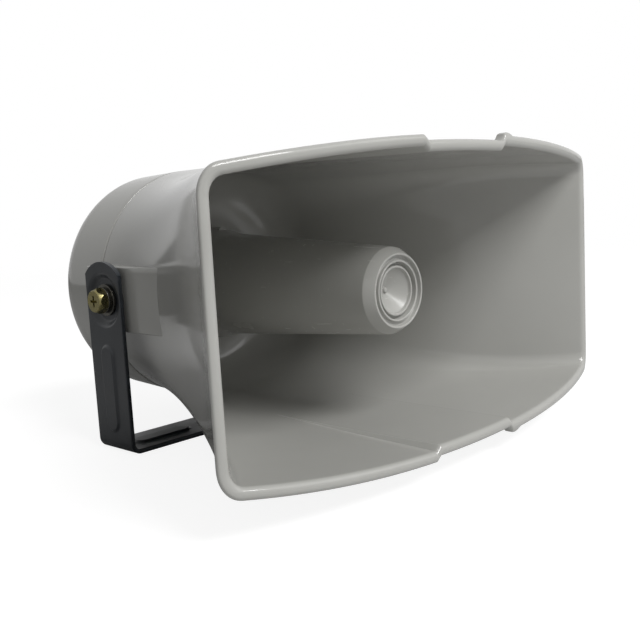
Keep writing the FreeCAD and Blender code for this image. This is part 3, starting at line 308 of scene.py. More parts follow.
class Graph:
    """A node tree with short ways to add and join nodes."""

    def __init__(self, tree: bpy.types.NodeTree) -> None:
        """Work on one node tree."""
        self.tree = tree

    @classmethod
    def of(cls, owner: Material | bpy.types.World) -> "Graph":
        """Emptied graph of a material or of the world."""
        owner.use_nodes = True
        owner.node_tree.nodes.clear()
        return cls(owner.node_tree)

    def add(self, kind: str, values: dict | None = None, **settings: object) -> bpy.types.Node:
        """Add a node.

        Args:
            kind: the node's type name.
            values: input name or index to a constant, or to an output socket to join.
            **settings: properties of the node itself.

        Returns:
            The new node.
        """
        node = self.tree.nodes.new(kind)
        for name, value in settings.items():
            setattr(node, name, value)
        for key, value in (values or {}).items():
            if isinstance(value, Socket):
                self.tree.links.new(value, node.inputs[key])
            else:
                node.inputs[key].default_value = value
        return node

    def coordinates(self) -> Socket:
        """Object coordinates."""
        return self.add("ShaderNodeTexCoord").outputs["Object"]

    def math(self, operation: str, first: object, second: object = 0.0) -> Socket:
        """Result of a Math node on two values or sockets."""
        return self.add("ShaderNodeMath", {0: first, 1: second}, operation=operation).outputs[0]

    def noise(self, coordinates: Socket, scale: object, detail: float = 3.0,
              roughness: float = 0.5) -> Socket:
        """Value of a noise pattern."""
        values = {"Vector": coordinates, "Scale": scale, "Detail": detail, "Roughness": roughness}
        return self.add("ShaderNodeTexNoise", values).outputs["Fac"]

    def remap(self, value: object, low: float, high: float, new_low: float = 0.0,
              new_high: float = 1.0) -> Socket:
        """Value moved from one range to another and kept inside it."""
        values = {"Value": value, "From Min": low, "From Max": high, "To Min": new_low, "To Max": new_high}
        return self.add("ShaderNodeMapRange", values).outputs["Result"]

    def mix_colour(self, share: object, first: object, second: object) -> Socket:
        """Mix of two colours.

        Args:
            share: share of the second colour.
            first: a colour or an output socket.
            second: the same for the other end.

        Returns:
            The mixed colour's socket.
        """
        ends = [(*end, 1.0) if isinstance(end, tuple) else end for end in (first, second)]
        values = {"Factor": share, 6: ends[0], 7: ends[1]}
        return self.add("ShaderNodeMix", values, data_type="RGBA").outputs[2]


class Effect:
    """A shared surface effect: a node group with named inputs and outputs, built once."""

    def __init__(self, name: str, inputs: dict[str, float], outputs: list[str]) -> None:
        """Make the group's sockets.

        Args:
            name: the effect's name.
            inputs: input names and their usual values.
            outputs: output names.
        """
        self.group = bpy.data.node_groups.new(name, "ShaderNodeTree")
        sockets = self.group.interface
        for label, value in inputs.items():
            socket = sockets.new_socket(name=label, in_out="INPUT", socket_type="NodeSocketFloat")
            socket.default_value = value
        for label in outputs:
            sockets.new_socket(name=label, in_out="OUTPUT", socket_type="NodeSocketFloat")
        self.graph = Graph(self.group)
        self.given = self.graph.add("NodeGroupInput").outputs
        self.result = self.graph.add("NodeGroupOutput").inputs
        self.coordinates = self.graph.coordinates()

    def put_out(self, label: str, value: Socket) -> None:
        """Join a value to one of the group's outputs."""
        self.group.links.new(value, self.result[label])

    def use(self, graph: Graph, values: dict[str, float]) -> bpy.types.NodeOutputs:
        """Place the effect in a material with its own values and return what it puts out."""
        return graph.add("ShaderNodeGroup", values, node_tree=self.group).outputs


def surface_grain() -> Effect:
    """Fine pits over broad waves.

    Returns:
        The effect, with a height for a bump and a slow tone.
    """
    inputs = {"Fine Scale": 1800.0, "Broad Scale": 40.0, "Broad Share": 0.5}
    effect = Effect("surface_grain", inputs, ["Height", "Tone"])
    graph = effect.graph
    fine = graph.noise(effect.coordinates, effect.given["Fine Scale"], 2.0)
    broad = graph.noise(effect.coordinates, effect.given["Broad Scale"], 3.0)
    waves = graph.math("MULTIPLY", broad, effect.given["Broad Share"])
    effect.put_out("Height", graph.math("ADD", fine, waves))
    effect.put_out("Tone", graph.remap(broad, 0.32, 0.68))
    return effect


def handling_marks() -> Effect:
    """Short faint rubs: the higher of two noises that are stretched along slanted directions.

    Returns:
        The effect, with a mask.
    """
    effect = Effect("handling_marks", {"Scale": 60.0, "Cover": 0.35}, ["Mask"])
    graph = effect.graph
    layers = []
    for rotation, scale in (((0.4, 0.9, 0.3), (1.0, 14.0, 14.0)), ((1.3, 0.2, 1.1), (11.0, 1.0, 11.0))):
        values = {"Vector": effect.coordinates, "Rotation": rotation, "Scale": scale}
        stretched = graph.add("ShaderNodeMapping", values).outputs[0]
        layers.append(graph.noise(stretched, effect.given["Scale"], 2.0))
    threshold = graph.math("SUBTRACT", 1.0, effect.given["Cover"])
    above = graph.math("SUBTRACT", graph.math("MAXIMUM", *layers), threshold)
    effect.put_out("Mask", graph.remap(above, 0.0, 0.08))
    return effect


def worn_edges() -> Effect:
    """Rubbed places along the edges that a piece marks with its edge attribute.

    Returns:
        The effect, with a mask.
    """
    effect = Effect("worn_edges", {"Amount": 0.5, "Scale": 120.0}, ["Mask"])
    graph = effect.graph
    exposed = graph.add("ShaderNodeAttribute", attribute_name="edge").outputs["Fac"]
    broken = graph.remap(graph.noise(effect.coordinates, effect.given["Scale"], 4.0, 0.65), 0.46, 0.62)
    rubbed = graph.math("MULTIPLY", exposed, broken)
    effect.put_out("Mask", graph.math("MULTIPLY", rubbed, effect.given["Amount"]))
    return effect


class Effects:
    """All shared effects, each built once."""

    def __init__(self) -> None:
        """Build them."""
        self.grain = surface_grain()
        self.marks = handling_marks()
        self.wear = worn_edges()


# Finishes of this horn


def shifted(colour: Colour, factor: float) -> Colour:
    """Colour made lighter or darker by a factor."""
    return tuple(min(1.0, channel * factor) for channel in colour)


@dataclass(frozen=True)
class Skin:
    """What a family of surfaces is made up of.

    Tones, rub_shift and wear_shift multiply the finish's colour, gloss and rub_gloss are added to its
    roughness, and depth is the real depth of the grain in metres.
    """

    fine_scale: float
    broad_scale: float
    broad_share: float
    depth: float
    tones: tuple[float, float]
    gloss: tuple[float, float]
    rub_scale: float = 0.0
    rub_cover: float = 0.0
    rub_share: float = 0.0
    rub_shift: float = 1.0
    rub_gloss: float = 0.08
    wear_amount: float = 0.0
    wear_scale: float = 0.0
    wear_share: float = 0.4
    wear_shift: float = 1.0
    metallic: float = 0.0


PLASTIC = Skin(1800.0, 30.0, 0.6, 0.000012, (0.988, 1.01), (-0.012, 0.015), 40.0, 0.30,
               wear_amount=0.3, wear_scale=140.0, wear_shift=1.12)
ROUGH_PLASTIC = replace(PLASTIC, depth=0.00003)
PAINT = Skin(620.0, 90.0, 0.6, 0.00002, (0.93, 1.08), (-0.03, 0.04), 90.0, 0.30, 0.12, 2.2,
             wear_amount=0.6, wear_scale=260.0, wear_shift=4.0)
METAL = Skin(2600.0, 320.0, 0.4, 0.000012, (1.0, 1.0), (-0.06, 0.1), 240.0, 0.42, 0.3, 0.6, 0.18,
             metallic=1.0)
RUBBER = Skin(3200.0, 150.0, 0.3, 0.00003, (0.85, 1.2), (-0.08, 0.08))
LAYERS = Skin(2400.0, 200.0, 0.5, 0.0, (0.88, 1.1), (-0.05, 0.08))
METAL_LAYERS = replace(LAYERS, metallic=1.0)


@dataclass(frozen=True)
class Finish:
    """A finish and the carried-over nodes that wear it.

    The second colour is the other end of a metal's tint, or the gap between layers where there is a
    pitch in metres: the layers are fine lines along one axis.
    """

    name: str
    skin: Skin
    colour: Colour
    roughness: float
    nodes: str = ""
    second: Colour | None = None
    pitch: float = 0.0
    axis: Axis = Axis.UP

    def build(self, effects: Effects) -> Material:
        """Make the material.

        Args:
            effects: the shared effects.

        Returns:
            The new material.
        """
        material = bpy.data.materials.new(self.name)
        graph, skin = Graph.of(material), self.skin
        grain = effects.grain.use(graph, {"Fine Scale": skin.fine_scale, "Broad Scale": skin.broad_scale,
                                          "Broad Share": skin.broad_share})
        tone, height, depth = grain["Tone"], grain["Height"], skin.depth
        low, high = (shifted(self.colour, factor) for factor in skin.tones)
        tint_end = self.second if self.second and not self.pitch else high
        colour = graph.mix_colour(tone, low, tint_end)
        rough = graph.remap(tone, 0, 1, *(self.roughness + step for step in skin.gloss))
        if self.pitch:
            parts = graph.add("ShaderNodeSeparateXYZ", {0: graph.coordinates()}).outputs
            phase = graph.math("MULTIPLY", parts[self.axis.value], 2 * math.pi / self.pitch)
            height, depth = graph.remap(graph.math("SINE", phase), -1.0, 0.2), self.pitch * 0.25
            colour = graph.mix_colour(height, self.second, colour)
        if skin.rub_cover:
            rubs = effects.marks.use(graph, {"Scale": skin.rub_scale, "Cover": skin.rub_cover})["Mask"]
            rough = graph.math("ADD", rough, graph.math("MULTIPLY", rubs, skin.rub_gloss))
            if skin.rub_share:
                share = graph.math("MULTIPLY", rubs, skin.rub_share)
                colour = graph.mix_colour(share, colour, shifted(self.colour, skin.rub_shift))
        if skin.wear_amount:
            wear = effects.wear.use(graph, {"Amount": skin.wear_amount, "Scale": skin.wear_scale})["Mask"]
            share = graph.math("MULTIPLY", wear, skin.wear_share)
            colour = graph.mix_colour(share, colour, shifted(self.colour, skin.wear_shift))
        bump = graph.add("ShaderNodeBump", {"Height": height, "Distance": depth, "Strength": 1.0}).outputs[0]
        shader = graph.add("ShaderNodeBsdfPrincipled", {"Base Color": colour, "Roughness": rough,
                                                        "Metallic": skin.metallic, "Normal": bump})
        graph.add("ShaderNodeOutputMaterial", {"Surface": shader.outputs[0]})
        return material


GREY = (0.385, 0.383, 0.362)
FINISHES = (
    Finish("grey_abs_gloss", replace(PLASTIC, depth=0.000003), GREY, 0.11),
    Finish("grey_abs_satin", replace(PLASTIC, depth=0.000006), GREY, 0.26),
    Finish("dark_filled_plastic", ROUGH_PLASTIC, (0.022, 0.022, 0.024), 0.45,
           "throat_tube driver_front_plate phase_plug"),
    Finish("blue_black_paint", PAINT, (0.013, 0.016, 0.020), 0.34),
    Finish("yellow_zinc", METAL, (0.30, 0.26, 0.11), 0.24, "pivot_bolts", (0.21, 0.19, 0.10)),
    Finish("dark_zinc", METAL, (0.13, 0.125, 0.11), 0.26, "flat_washers spring_washers", (0.09, 0.088, 0.08)),
    Finish("clear_zinc", METAL, (0.46, 0.47, 0.48), 0.32,
           "transformer_clamp top_plate yoke cup_screws driver_clamp_screws driver_mount_screws "
           "transformer_screws terminal_screws terminal_fixing_screws cover_screws", (0.38, 0.40, 0.43)),
    Finish("plain_brass", METAL, (0.78, 0.60, 0.28), 0.3, "solder_tags threaded_inserts", (0.66, 0.50, 0.24)),
    Finish("black_rubber", RUBBER, (0.016, 0.016, 0.016), 0.70, "throat_gasket gland_seal"),
    Finish("grey_rubber", RUBBER, (0.20, 0.20, 0.19), 0.70, "cover_gasket"),
    Finish("phenolic_sheet", LAYERS, (0.16, 0.07, 0.025), 0.42, "diaphragm tag_board", (0.11, 0.045, 0.016),
           0.0009),
    Finish("natural_plastic", PLASTIC, (0.60, 0.57, 0.49), 0.4, "diaphragm_ring"),
    Finish("enamelled_copper", METAL_LAYERS, (0.60, 0.22, 0.09), 0.28, "voice_coil transformer_winding",
           (0.20, 0.06, 0.02), 0.0006, Axis.BACK),
    Finish("core_laminations", METAL_LAYERS, (0.16, 0.165, 0.17), 0.4, "transformer_core", (0.03, 0.03, 0.03),
           0.0007),
    Finish("sintered_ferrite", replace(PLASTIC, depth=0.00006, fine_scale=2600.0), (0.035, 0.035, 0.038),
           0.55, "magnet"),
    Finish("white_nylon", PLASTIC, (0.72, 0.70, 0.64), 0.42, "transformer_bobbin"),
    Finish("cream_nylon", PLASTIC, (0.62, 0.59, 0.50), 0.42, "terminal_block"),
    Finish("black_nylon", replace(ROUGH_PLASTIC, rub_cover=0.4), (0.014, 0.014, 0.015), 0.36,
           "gland_body gland_nut gland_locknut"),
)


def dress(piece: bpy.types.Object, material: Material) -> None:
    """Put one material on a whole piece."""
    piece.data.materials.clear()
    piece.data.materials.append(material)


def finish_piece(piece: bpy.types.Object, material: Material, body: Body, node: str) -> None:
    """Dress a new piece, and let it ride and stand for its node.

    Args:
        piece: the new object.
        material: its material.
        body: the body that it moves with.
        node: the solids that it stands for.
    """
    dress(piece, material)
    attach(piece, body.value)
    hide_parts(node)
    log.info("%s: %d faces", piece.name, len(piece.data.polygons))


# The bell


@dataclass(frozen=True)
class HornBell:
    """The moulded bell: a flare from a bowed rectangle to a circle, its lip, channels and pivot blocks."""

    mouth_width: float = 286.7
    mouth_height: float = 146.0
    mouth_corner_radius: float = 13.3
    mouth_top_radius: float = 970.0
    mouth_side_radius: float = 5000.0
    rim_bulge: float = 19.2
    rim_square_share: float = 0.58
    lip_overhang: float = 2.0
    lip_depth: float = 5.5
    lip_edge_radius: float = 2.0
    lip_inner_radius: float = 2.6
    wall: float = 3.2
    length: float = 203.0
    rear_radius: float = 68.0
    flare_power: float = 1.9
    roundness_power: float = 3.3
    rear_wall: float = 4.0
    inner_round_depth: float = 26.0
    inner_round_share: float = 0.36
    channel_half_width: float = 32.2
    channel_step: float = 2.5
    channel_length: float = 110.0
    channel_slope: float = 1.2
    nub_offset: float = 35.0
    nub_half_length: float = 4.5
    nub_height: float = 1.5
    throat_hole: float = 11.8
    spigot_radius: float = 64.7
    spigot_wall: float = 3.0
    spigot_height: float = 4.0
    boss_face: float = 78.5
    boss_half_height: float = 17.5
    boss_front: float = 128.0
    boss_back: float = 200.0
    boss_edge_radius: float = 1.0
    flare_rows: int = 56
    row_spacing: float = 0.9
    round_rows: int = 15
    hole_chamfer: float = 0.2
    wear_spread: float = 0.8
    wear_inset: float = 0.4

    def roundness(self, back: Array) -> Array:
        """Share of the way from rectangle to circle: depth over length, raised to a power."""
        return np.clip(back / self.length, 0, 1) ** self.roundness_power

    def half_width(self, back: Array) -> Array:
        """Half width: rear radius plus the mouth's growth times the remaining share raised to a power.

        Args:
            back: depths.

        Returns:
            Half width at each depth.
        """
        growth = self.mouth_width / 2 - self.lip_overhang - self.rear_radius
        share = np.maximum(0, (self.length - back) / (self.length - self.rim_bulge))
        return self.rear_radius + growth * share ** self.flare_power

    def half_height(self, back: Array) -> Array:
        """Half height at the middle: a straight taper from mouth to rear."""
        growth = self.mouth_height / 2 - self.lip_overhang - self.rear_radius
        return self.rear_radius + growth * (1 - back / self.length)

    def side_thickness(self, back: Array) -> Array:
        """Wall thickness measured straight across a slanted side wall."""
        slope = self.half_width(back - 0.5) - self.half_width(back + 0.5)
        return self.wall * np.sqrt(1 + slope ** 2)

    def blend(self, back: Array, at_mouth: float, at_rear: float) -> Array:
        """Radius whose curvature runs from one end's to the other's with the roundness."""
        share = self.roundness(back)
        return 1 / ((1 - share) / at_mouth + share / at_rear)

    def rim_setback(self, across: Array) -> Array:
        """How far the bulging rim lies behind its middle: a square and a fourth power of the width share.

        Args:
            across: distances from the middle.

        Returns:
            Setback at each distance.
        """
        share = across / (self.mouth_width / 2)
        square = self.rim_square_share
        return self.rim_bulge * (square * share ** 2 + (1 - square) * share ** 4)

    def top_breaks(self, back: Array, end: Array) -> Array:
        """Widths on the top wall that columns follow: the channel's flank, the nub, and the arc's end.

        Ahead of the channel's rear they are true widths, and behind it they shrink with the arc.

        Args:
            back: depth of every point, rows by columns.
            end: width of the top arc there.

        Returns:
            Array of breaks, with a last axis for the break's number.
        """
        inside = np.minimum(back, self.channel_length)
        drop = self.half_height(np.zeros(1)) - self.half_height(inside)
        sag = self.channel_half_width ** 2 / (2 * self.blend(inside, self.mouth_top_radius, self.rear_radius))
        flank_top = self.channel_half_width - self.channel_slope * (drop + sag)
        flank_foot = flank_top - self.channel_slope * self.dip(inside) - 0.05
        nub_start = self.nub_offset - self.nub_half_length - 0.2
        nub_end = self.nub_offset + self.nub_half_length + 0.2
        start = np.maximum(flank_top + 0.9, nub_start + 0 * flank_top)
        widths = [0 * flank_top, flank_foot - 0.45, flank_foot, flank_foot + 0.3, flank_top - 0.3, flank_top,
                  flank_top + 0.45, start, nub_end + 0 * flank_top]
        stack = np.stack(widths, axis=-1)
        end_at_channel = self.arc_ends(np.full_like(back, self.channel_length))[0]
        shrink = np.where(back > self.channel_length, end / end_at_channel, 1.0)
        return np.concatenate([stack * shrink[..., None], end[..., None]], axis=-1)

    def dip(self, back: Array) -> Array:
        """Depth of the channel's floor: a straight ramp that ends at the channel's rear."""
        return self.channel_step * np.maximum(0, 1 - back / self.channel_length)

    def arc_ends(self, back: Array, grow_across: Array | float = 0.0,
                 grow: Array | float = 0.0) -> tuple[Array, ...]:
        """Where the top, corner and side arcs of a section meet, for arcs that touch without a kink.

        The corner's centre lies at top radius minus corner radius from the top arc's centre, and at
        side radius minus corner radius from the side arc's centre.

        Args:
            back: depth of every point.
            grow_across: growth of the half width.
            grow: growth of the half height and of the radii.

        Returns:
            Width of the top arc's end, the corner's centre, its start and end angles, the three radii,
            and the centres of the top arc and the side arc.
        """
        top = self.blend(back, self.mouth_top_radius, self.rear_radius) + grow
        side = self.blend(back, self.mouth_side_radius, self.rear_radius) + grow
        at_mouth = self.mouth_corner_radius - self.lip_overhang
        corner = at_mouth + (self.rear_radius - at_mouth) * self.roundness(back) + grow
        across = self.half_width(back) + grow_across
        height = self.half_height(back) + grow
        top_z, side_x = height - top, across - side
        top_reach, side_reach = top - corner, side - corner
        gap = np.hypot(side_x, top_z)
        safe = np.maximum(gap, 1e-6)
        along = (gap ** 2 + top_reach ** 2 - side_reach ** 2) / (2 * safe)
        aside = np.sqrt(np.maximum(0, top_reach ** 2 - along ** 2))
        unit_x, unit_z = side_x / safe, -top_z / safe
        corner_x = along * unit_x + aside * unit_z
        corner_z = top_z + along * unit_z - aside * unit_x
        top_turn = np.arctan2(corner_z - top_z, corner_x)
        side_turn = np.arctan2(corner_z, corner_x - side_x)
        round_end = (top_reach < 0.5) | (side_reach < 0.5) | (gap < 0.5)
        corner_x = np.where(round_end, across - corner, corner_x)
        corner_z = np.where(round_end, height - corner, corner_z)
        top_turn = np.where(round_end, math.radians(67.5), top_turn)
        side_turn = np.where(round_end, math.radians(22.5), side_turn)
        end = corner_x + corner * np.cos(top_turn)
        return end, corner_x, corner_z, top_turn, side_turn, corner, top, side, top_z, side_x

    def column_plan(self) -> tuple[Array, Array, Array]:
        """Columns of one quarter.

        Returns:
            Place among the top breaks, shares of the corner arc, and shares of the side.
        """
        counts = enumerate((12, 2, 2, 4, 2, 2, 3, 12, 18))
        top = np.concatenate([index + np.arange(count) / count for index, count in counts])
        return top, np.arange(14) / 14, np.linspace(0, 1, 15)

    def quarter(self, back: Array, grow: Array) -> tuple[Array, Array, Array]:
        """Upper right quarter of the section: the top arc, the corner arc and the side arc.

        Args:
            back: depth of every point, rows by columns.
            grow: growth of every point.

        Returns:
            Across, up, and the channel's dip at every point.
        """
        top_place, corner_share, side_share = self.column_plan()
        inward = np.minimum(grow, 0) * self.side_thickness(back) / self.wall
        ends = self.arc_ends(back, inward + np.maximum(grow, 0), grow)
        end, corner_x, corner_z, top_turn, side_turn, corner, top, side, top_z, side_x = ends
        count = len(top_place)
        breaks = self.top_breaks(back[:, :count], end[:, :count])
        first = top_place.astype(int)
        share = top_place - first
        columns = np.arange(count)
        across = breaks[:, columns, first] * (1 - share) + breaks[:, columns, first + 1] * share
        up = top_z[:, :count] + np.sqrt(top[:, :count] ** 2 - across ** 2)
        flank = (breaks[:, :, 5] - across) / self.channel_slope
        sunk = np.clip(flank, 0, self.dip(back[:, :count]))
        middle = slice(count, count + len(corner_share))
        angle = top_turn[:, middle] + (side_turn[:, middle] - top_turn[:, middle]) * corner_share
        corner_across = corner_x[:, middle] + corner[:, middle] * np.cos(angle)
        corner_up = corner_z[:, middle] + corner[:, middle] * np.sin(angle)
        last = slice(count + len(corner_share), None)
        low = side_turn[:, last] * (1 - side_share)
        side_across = side_x[:, last] + side[:, last] * np.cos(low)
        side_up = side[:, last] * np.sin(low)
        x = np.concatenate([across, corner_across, side_across], axis=1)
        z = np.concatenate([up, corner_up, side_up], axis=1)
        dips = np.concatenate([sunk, 0 * corner_across, 0 * side_across], axis=1)
        return x, z, dips

    def rim_rows(self, offsets: Array, grows: Array) -> tuple[Array, Array]:
        """Depth and growth of rows that follow the bulging rim.

        The depth at the rim's face depends on the width there, so it is found by repeating
        depth = setback(width at that depth) + offset a few times.

        Args:
            offsets: how far each row lies behind the rim's face.
            grows: growth of each row.

        Returns:
            Depth and growth of every point.
        """
        columns = sum(len(part) for part in self.column_plan())
        grow = np.repeat(grows[:, None], columns, axis=1)
        back = np.full_like(grow, 8.0)
        for _ in range(6):
            back = self.rim_setback(self.quarter(back, grow)[0]) + offsets[:, None]
        return back, grow

    def whole_rows(self, back: Array, grow: Array) -> Array:
        """Closed rows from a quarter, by mirroring it up-down and left-right, with the nub on one side.

        Args:
            back: depth of every point, rows by columns.
            grow: growth of every point.

        Returns:
            Array of rows, columns and coordinates.
        """
        across, up, dips = self.quarter(back, grow)
        height = up - dips
        nub = self.nub_height * np.maximum(0, 1 - ((across - self.nub_offset) / self.nub_half_length) ** 2)
        nub *= np.clip((grow - 0.9) / (self.lip_overhang - 0.9), 0, 1)
        with_nub = height + nub

        def points(x: Array, z: Array, columns: slice) -> Array:
            """Some of the columns, as points."""
            return np.stack([x, back, z], axis=-1)[:, columns]

        return np.concatenate([
            points(across, with_nub, slice(None)),
            points(across, -with_nub, slice(-2, None, -1)),
            points(-across, -height, slice(1, None)),
            points(-across, height, slice(-2, 0, -1)),
        ], axis=1)

    def wall_across(self, back: Array, up: Array, grow: float) -> Array:
        """Half width of the wall, read from a table of the section's points between its four nearest.

        Args:
            back: depths.
            up: heights.
            grow: growth of the wall's surface.

        Returns:
            Half width at each depth and height.
        """
        columns = sum(len(part) for part in self.column_plan())
        depths = np.linspace(self.boss_front - 4, self.boss_back + 2, 40)
        grid_back = np.repeat(depths[:, None], columns, axis=1)
        across, height, _ = self.quarter(grid_back, np.full_like(grid_back, grow))
        levels = np.linspace(0, self.boss_half_height + 2, 12)
        table = np.stack([np.interp(levels, height_row[::-1], across_row[::-1])
                          for height_row, across_row in zip(height, across)])
        row = np.clip((back - depths[0]) / (depths[1] - depths[0]), 0, len(depths) - 1.001)
        column = np.clip(np.abs(up) / (levels[1] - levels[0]), 0, len(levels) - 1.001)
        low_row, low_column = row.astype(int), column.astype(int)
        row_share, column_share = row - low_row, column - low_column
        near, far = (table[low_row, beside] * (1 - row_share) + table[low_row + 1, beside] * row_share
                     for beside in (low_column, low_column + 1))
        return near * (1 - column_share) + far * column_share

    def lip_profile(self) -> tuple[Array, Array, Array]:
        """Section of the lip from the outer wall round to the inner one.

        Wear falls off as e to the power of minus the squared distance from each of the two front edges.

        Returns:
            Offsets behind the rim's face, growths, and wear weights.
        """
        depth, over, radius = self.lip_depth, self.lip_overhang, self.lip_edge_radius
        corners = [(depth + 1.4, 0.0, 0.0), (depth, 0.0, 0.7), (depth, over, 0.5), (0.0, over, radius),
                   (0.0, -self.wall, self.lip_inner_radius), (4.0, -self.wall, 0.0)]
        profile = rounded_profile(corners, 6)
        offsets, grows = profile[:, 0], profile[:, 1]
        behind, spread = (offsets - self.wear_inset) ** 2, self.wear_spread
        turn_outer = np.exp(-(behind + (grows - over + self.wear_inset) ** 2) / spread)
        turn_inner = np.exp(-(behind + (grows + self.wall - self.wear_inset) ** 2) / spread)
        return offsets, grows, np.clip(turn_outer + 0.7 * turn_inner, 0, 1)

    def shell(self, surface: Surface) -> None:
        """Add the flare, lip, rear wall, throat hole and spigot as one closed grid.

        Over the last rows inside, the section shrinks by the round's share times one minus the cosine
        of a quarter turn, whose sine gives their depth.

        Args:
            surface: where the grid goes.
        """
        offsets, grows, wear = self.lip_profile()
        rim_back, rim_grow = self.rim_rows(offsets, grows)
        share = np.linspace(0, 1, self.flare_rows)[:, None]
        outer_back = self.length + (rim_back[:1] - self.length) * share[:-1] ** self.row_spacing
        inner_end = self.length - self.rear_wall
        round_start = inner_end - self.inner_round_depth
        straight_back = rim_back[-1:] + (round_start - rim_back[-1:]) * share[1:] ** (1 / self.row_spacing)
        bend = np.linspace(0, math.pi / 2, self.round_rows)[1:, None]
        round_back = round_start + self.inner_round_depth * np.sin(bend) + 0 * rim_back[:1]
        inner_back = np.concatenate([straight_back, round_back])
        back = np.concatenate([outer_back, rim_back, inner_back])
        grow = np.concatenate([0 * outer_back, rim_grow, np.full_like(inner_back, -self.wall)])
        rows = self.whole_rows(back, grow)
        rows[-len(bend):, :, ::2] *= (1 - self.inner_round_share * (1 - np.cos(bend)))[..., None]
        weights = np.concatenate([np.zeros(len(outer_back)), wear, np.zeros(len(inner_back))])
        last = rows[-1]
        turn = np.arctan2(last[:, 2], last[:, 0])
        reach = np.hypot(last[:, 0], last[:, 2])
        hole, chamfer, spigot = self.throat_hole, self.hole_chamfer, self.spigot_radius
        spigot_end = self.length + self.spigot_height
        rings = [(reach * part + hole * (1 - part), inner_end) for part in (0.75, 0.45)]
        rings += [(hole + chamfer, inner_end), (hole, inner_end + chamfer), (hole, self.length - chamfer),
                  (hole + chamfer, self.length), (spigot - self.spigot_wall, self.length),
                  (spigot - self.spigot_wall, spigot_end), (spigot, spigot_end), (spigot, self.length)]
        ring_rows = [np.stack([radius * np.cos(turn), depth + 0 * turn, radius * np.sin(turn)], axis=-1)
                     for radius, depth in rings]
        grid = np.concatenate([rows, np.stack(ring_rows)])
        edge = np.concatenate([weights, np.zeros(len(rings))])[:, None] + np.zeros(grid.shape[1])
        surface.add_grid(grid, wrap_rows=True, edge=edge)

    def boss(self, surface: Surface, side: int) -> None:
        """Add one pivot block, whose hidden inner face runs through the middle of the wall.

        Args:
            surface: where the block goes.
            side: 1 for the right, -1 for the left.
        """
        front = self.boss_front
        while float(self.half_width(np.array(front))) - self.wall / 2 > self.boss_face - 0.1:
            front += 0.25
        half_length = (self.boss_back - front) / 2
        middle = (self.boss_back + front) / 2
        radius = self.boss_edge_radius
        plan = [(0.0, scale, None) for scale in (0.3, 0.55, 0.8, 0.93, 1.0)]
        plan += [(radius * (1 - math.cos(turn)), 1.0, self.boss_face - radius * (1 - math.sin(turn)))
                 for turn in np.linspace(0, math.pi / 2, 5)]
        plan += [(radius, scale, self.boss_face) for scale in (0.8, 0.55, 0.3)]
        grid = np.stack([self.boss_row(middle, half_length, *row) for row in plan])
        hidden_across = float(self.wall_across(np.array(middle), np.array(0.0), -self.wall / 2))
        flip = np.array([side, 1, 1])
        start = np.array([hidden_across, middle, 0.0]) * flip
        end = np.array([self.boss_face, middle, 0.0]) * flip
        edge = np.concatenate([np.zeros(5), np.full(5, 0.5), np.zeros(3)])[:, None] + np.zeros(grid.shape[1])
        surface.add_closed(grid[:, ::side] * flip, start, end, edge)

    def boss_row(self, middle: float, half_length: float, inset: float, scale: float,
                 across: float | None) -> Array:
        """One closed row round the block's outline, shrunk by an inset and a scale.

        Args:
            middle: depth of the block's middle.
            half_length: half its length.
            inset: how far the outline shrinks on every side.
            scale: what the shrunk outline is multiplied by.
            across: the row's half width, or None for the middle of the bell's wall.

        Returns:
            The row's points.
        """
        line = np.linspace(-1, 1, 26, endpoint=False)
        one = np.ones(len(line))
        long_side, short_side = half_length - inset, self.boss_half_height - inset
        along = np.concatenate([line, one, -line, -one]) * long_side * scale
        up = np.concatenate([-one, line, one, -line]) * short_side * scale
        back = middle + along
        width = self.wall_across(back, up, -self.wall / 2) if across is None else np.full_like(back, across)
        return np.stack([width, back, up], axis=-1)

    def build(self, material: Material) -> None:
        """Make the bell and dress it.

        Args:
            material: the shell's material.
        """
        surface = Surface()
        self.shell(surface)
        for side in (-1, 1):
            self.boss(surface, side)
        finish_piece(surface.build("moulded_bell", 55.0), material, Body.HORN, "horn_bell")


# The cup


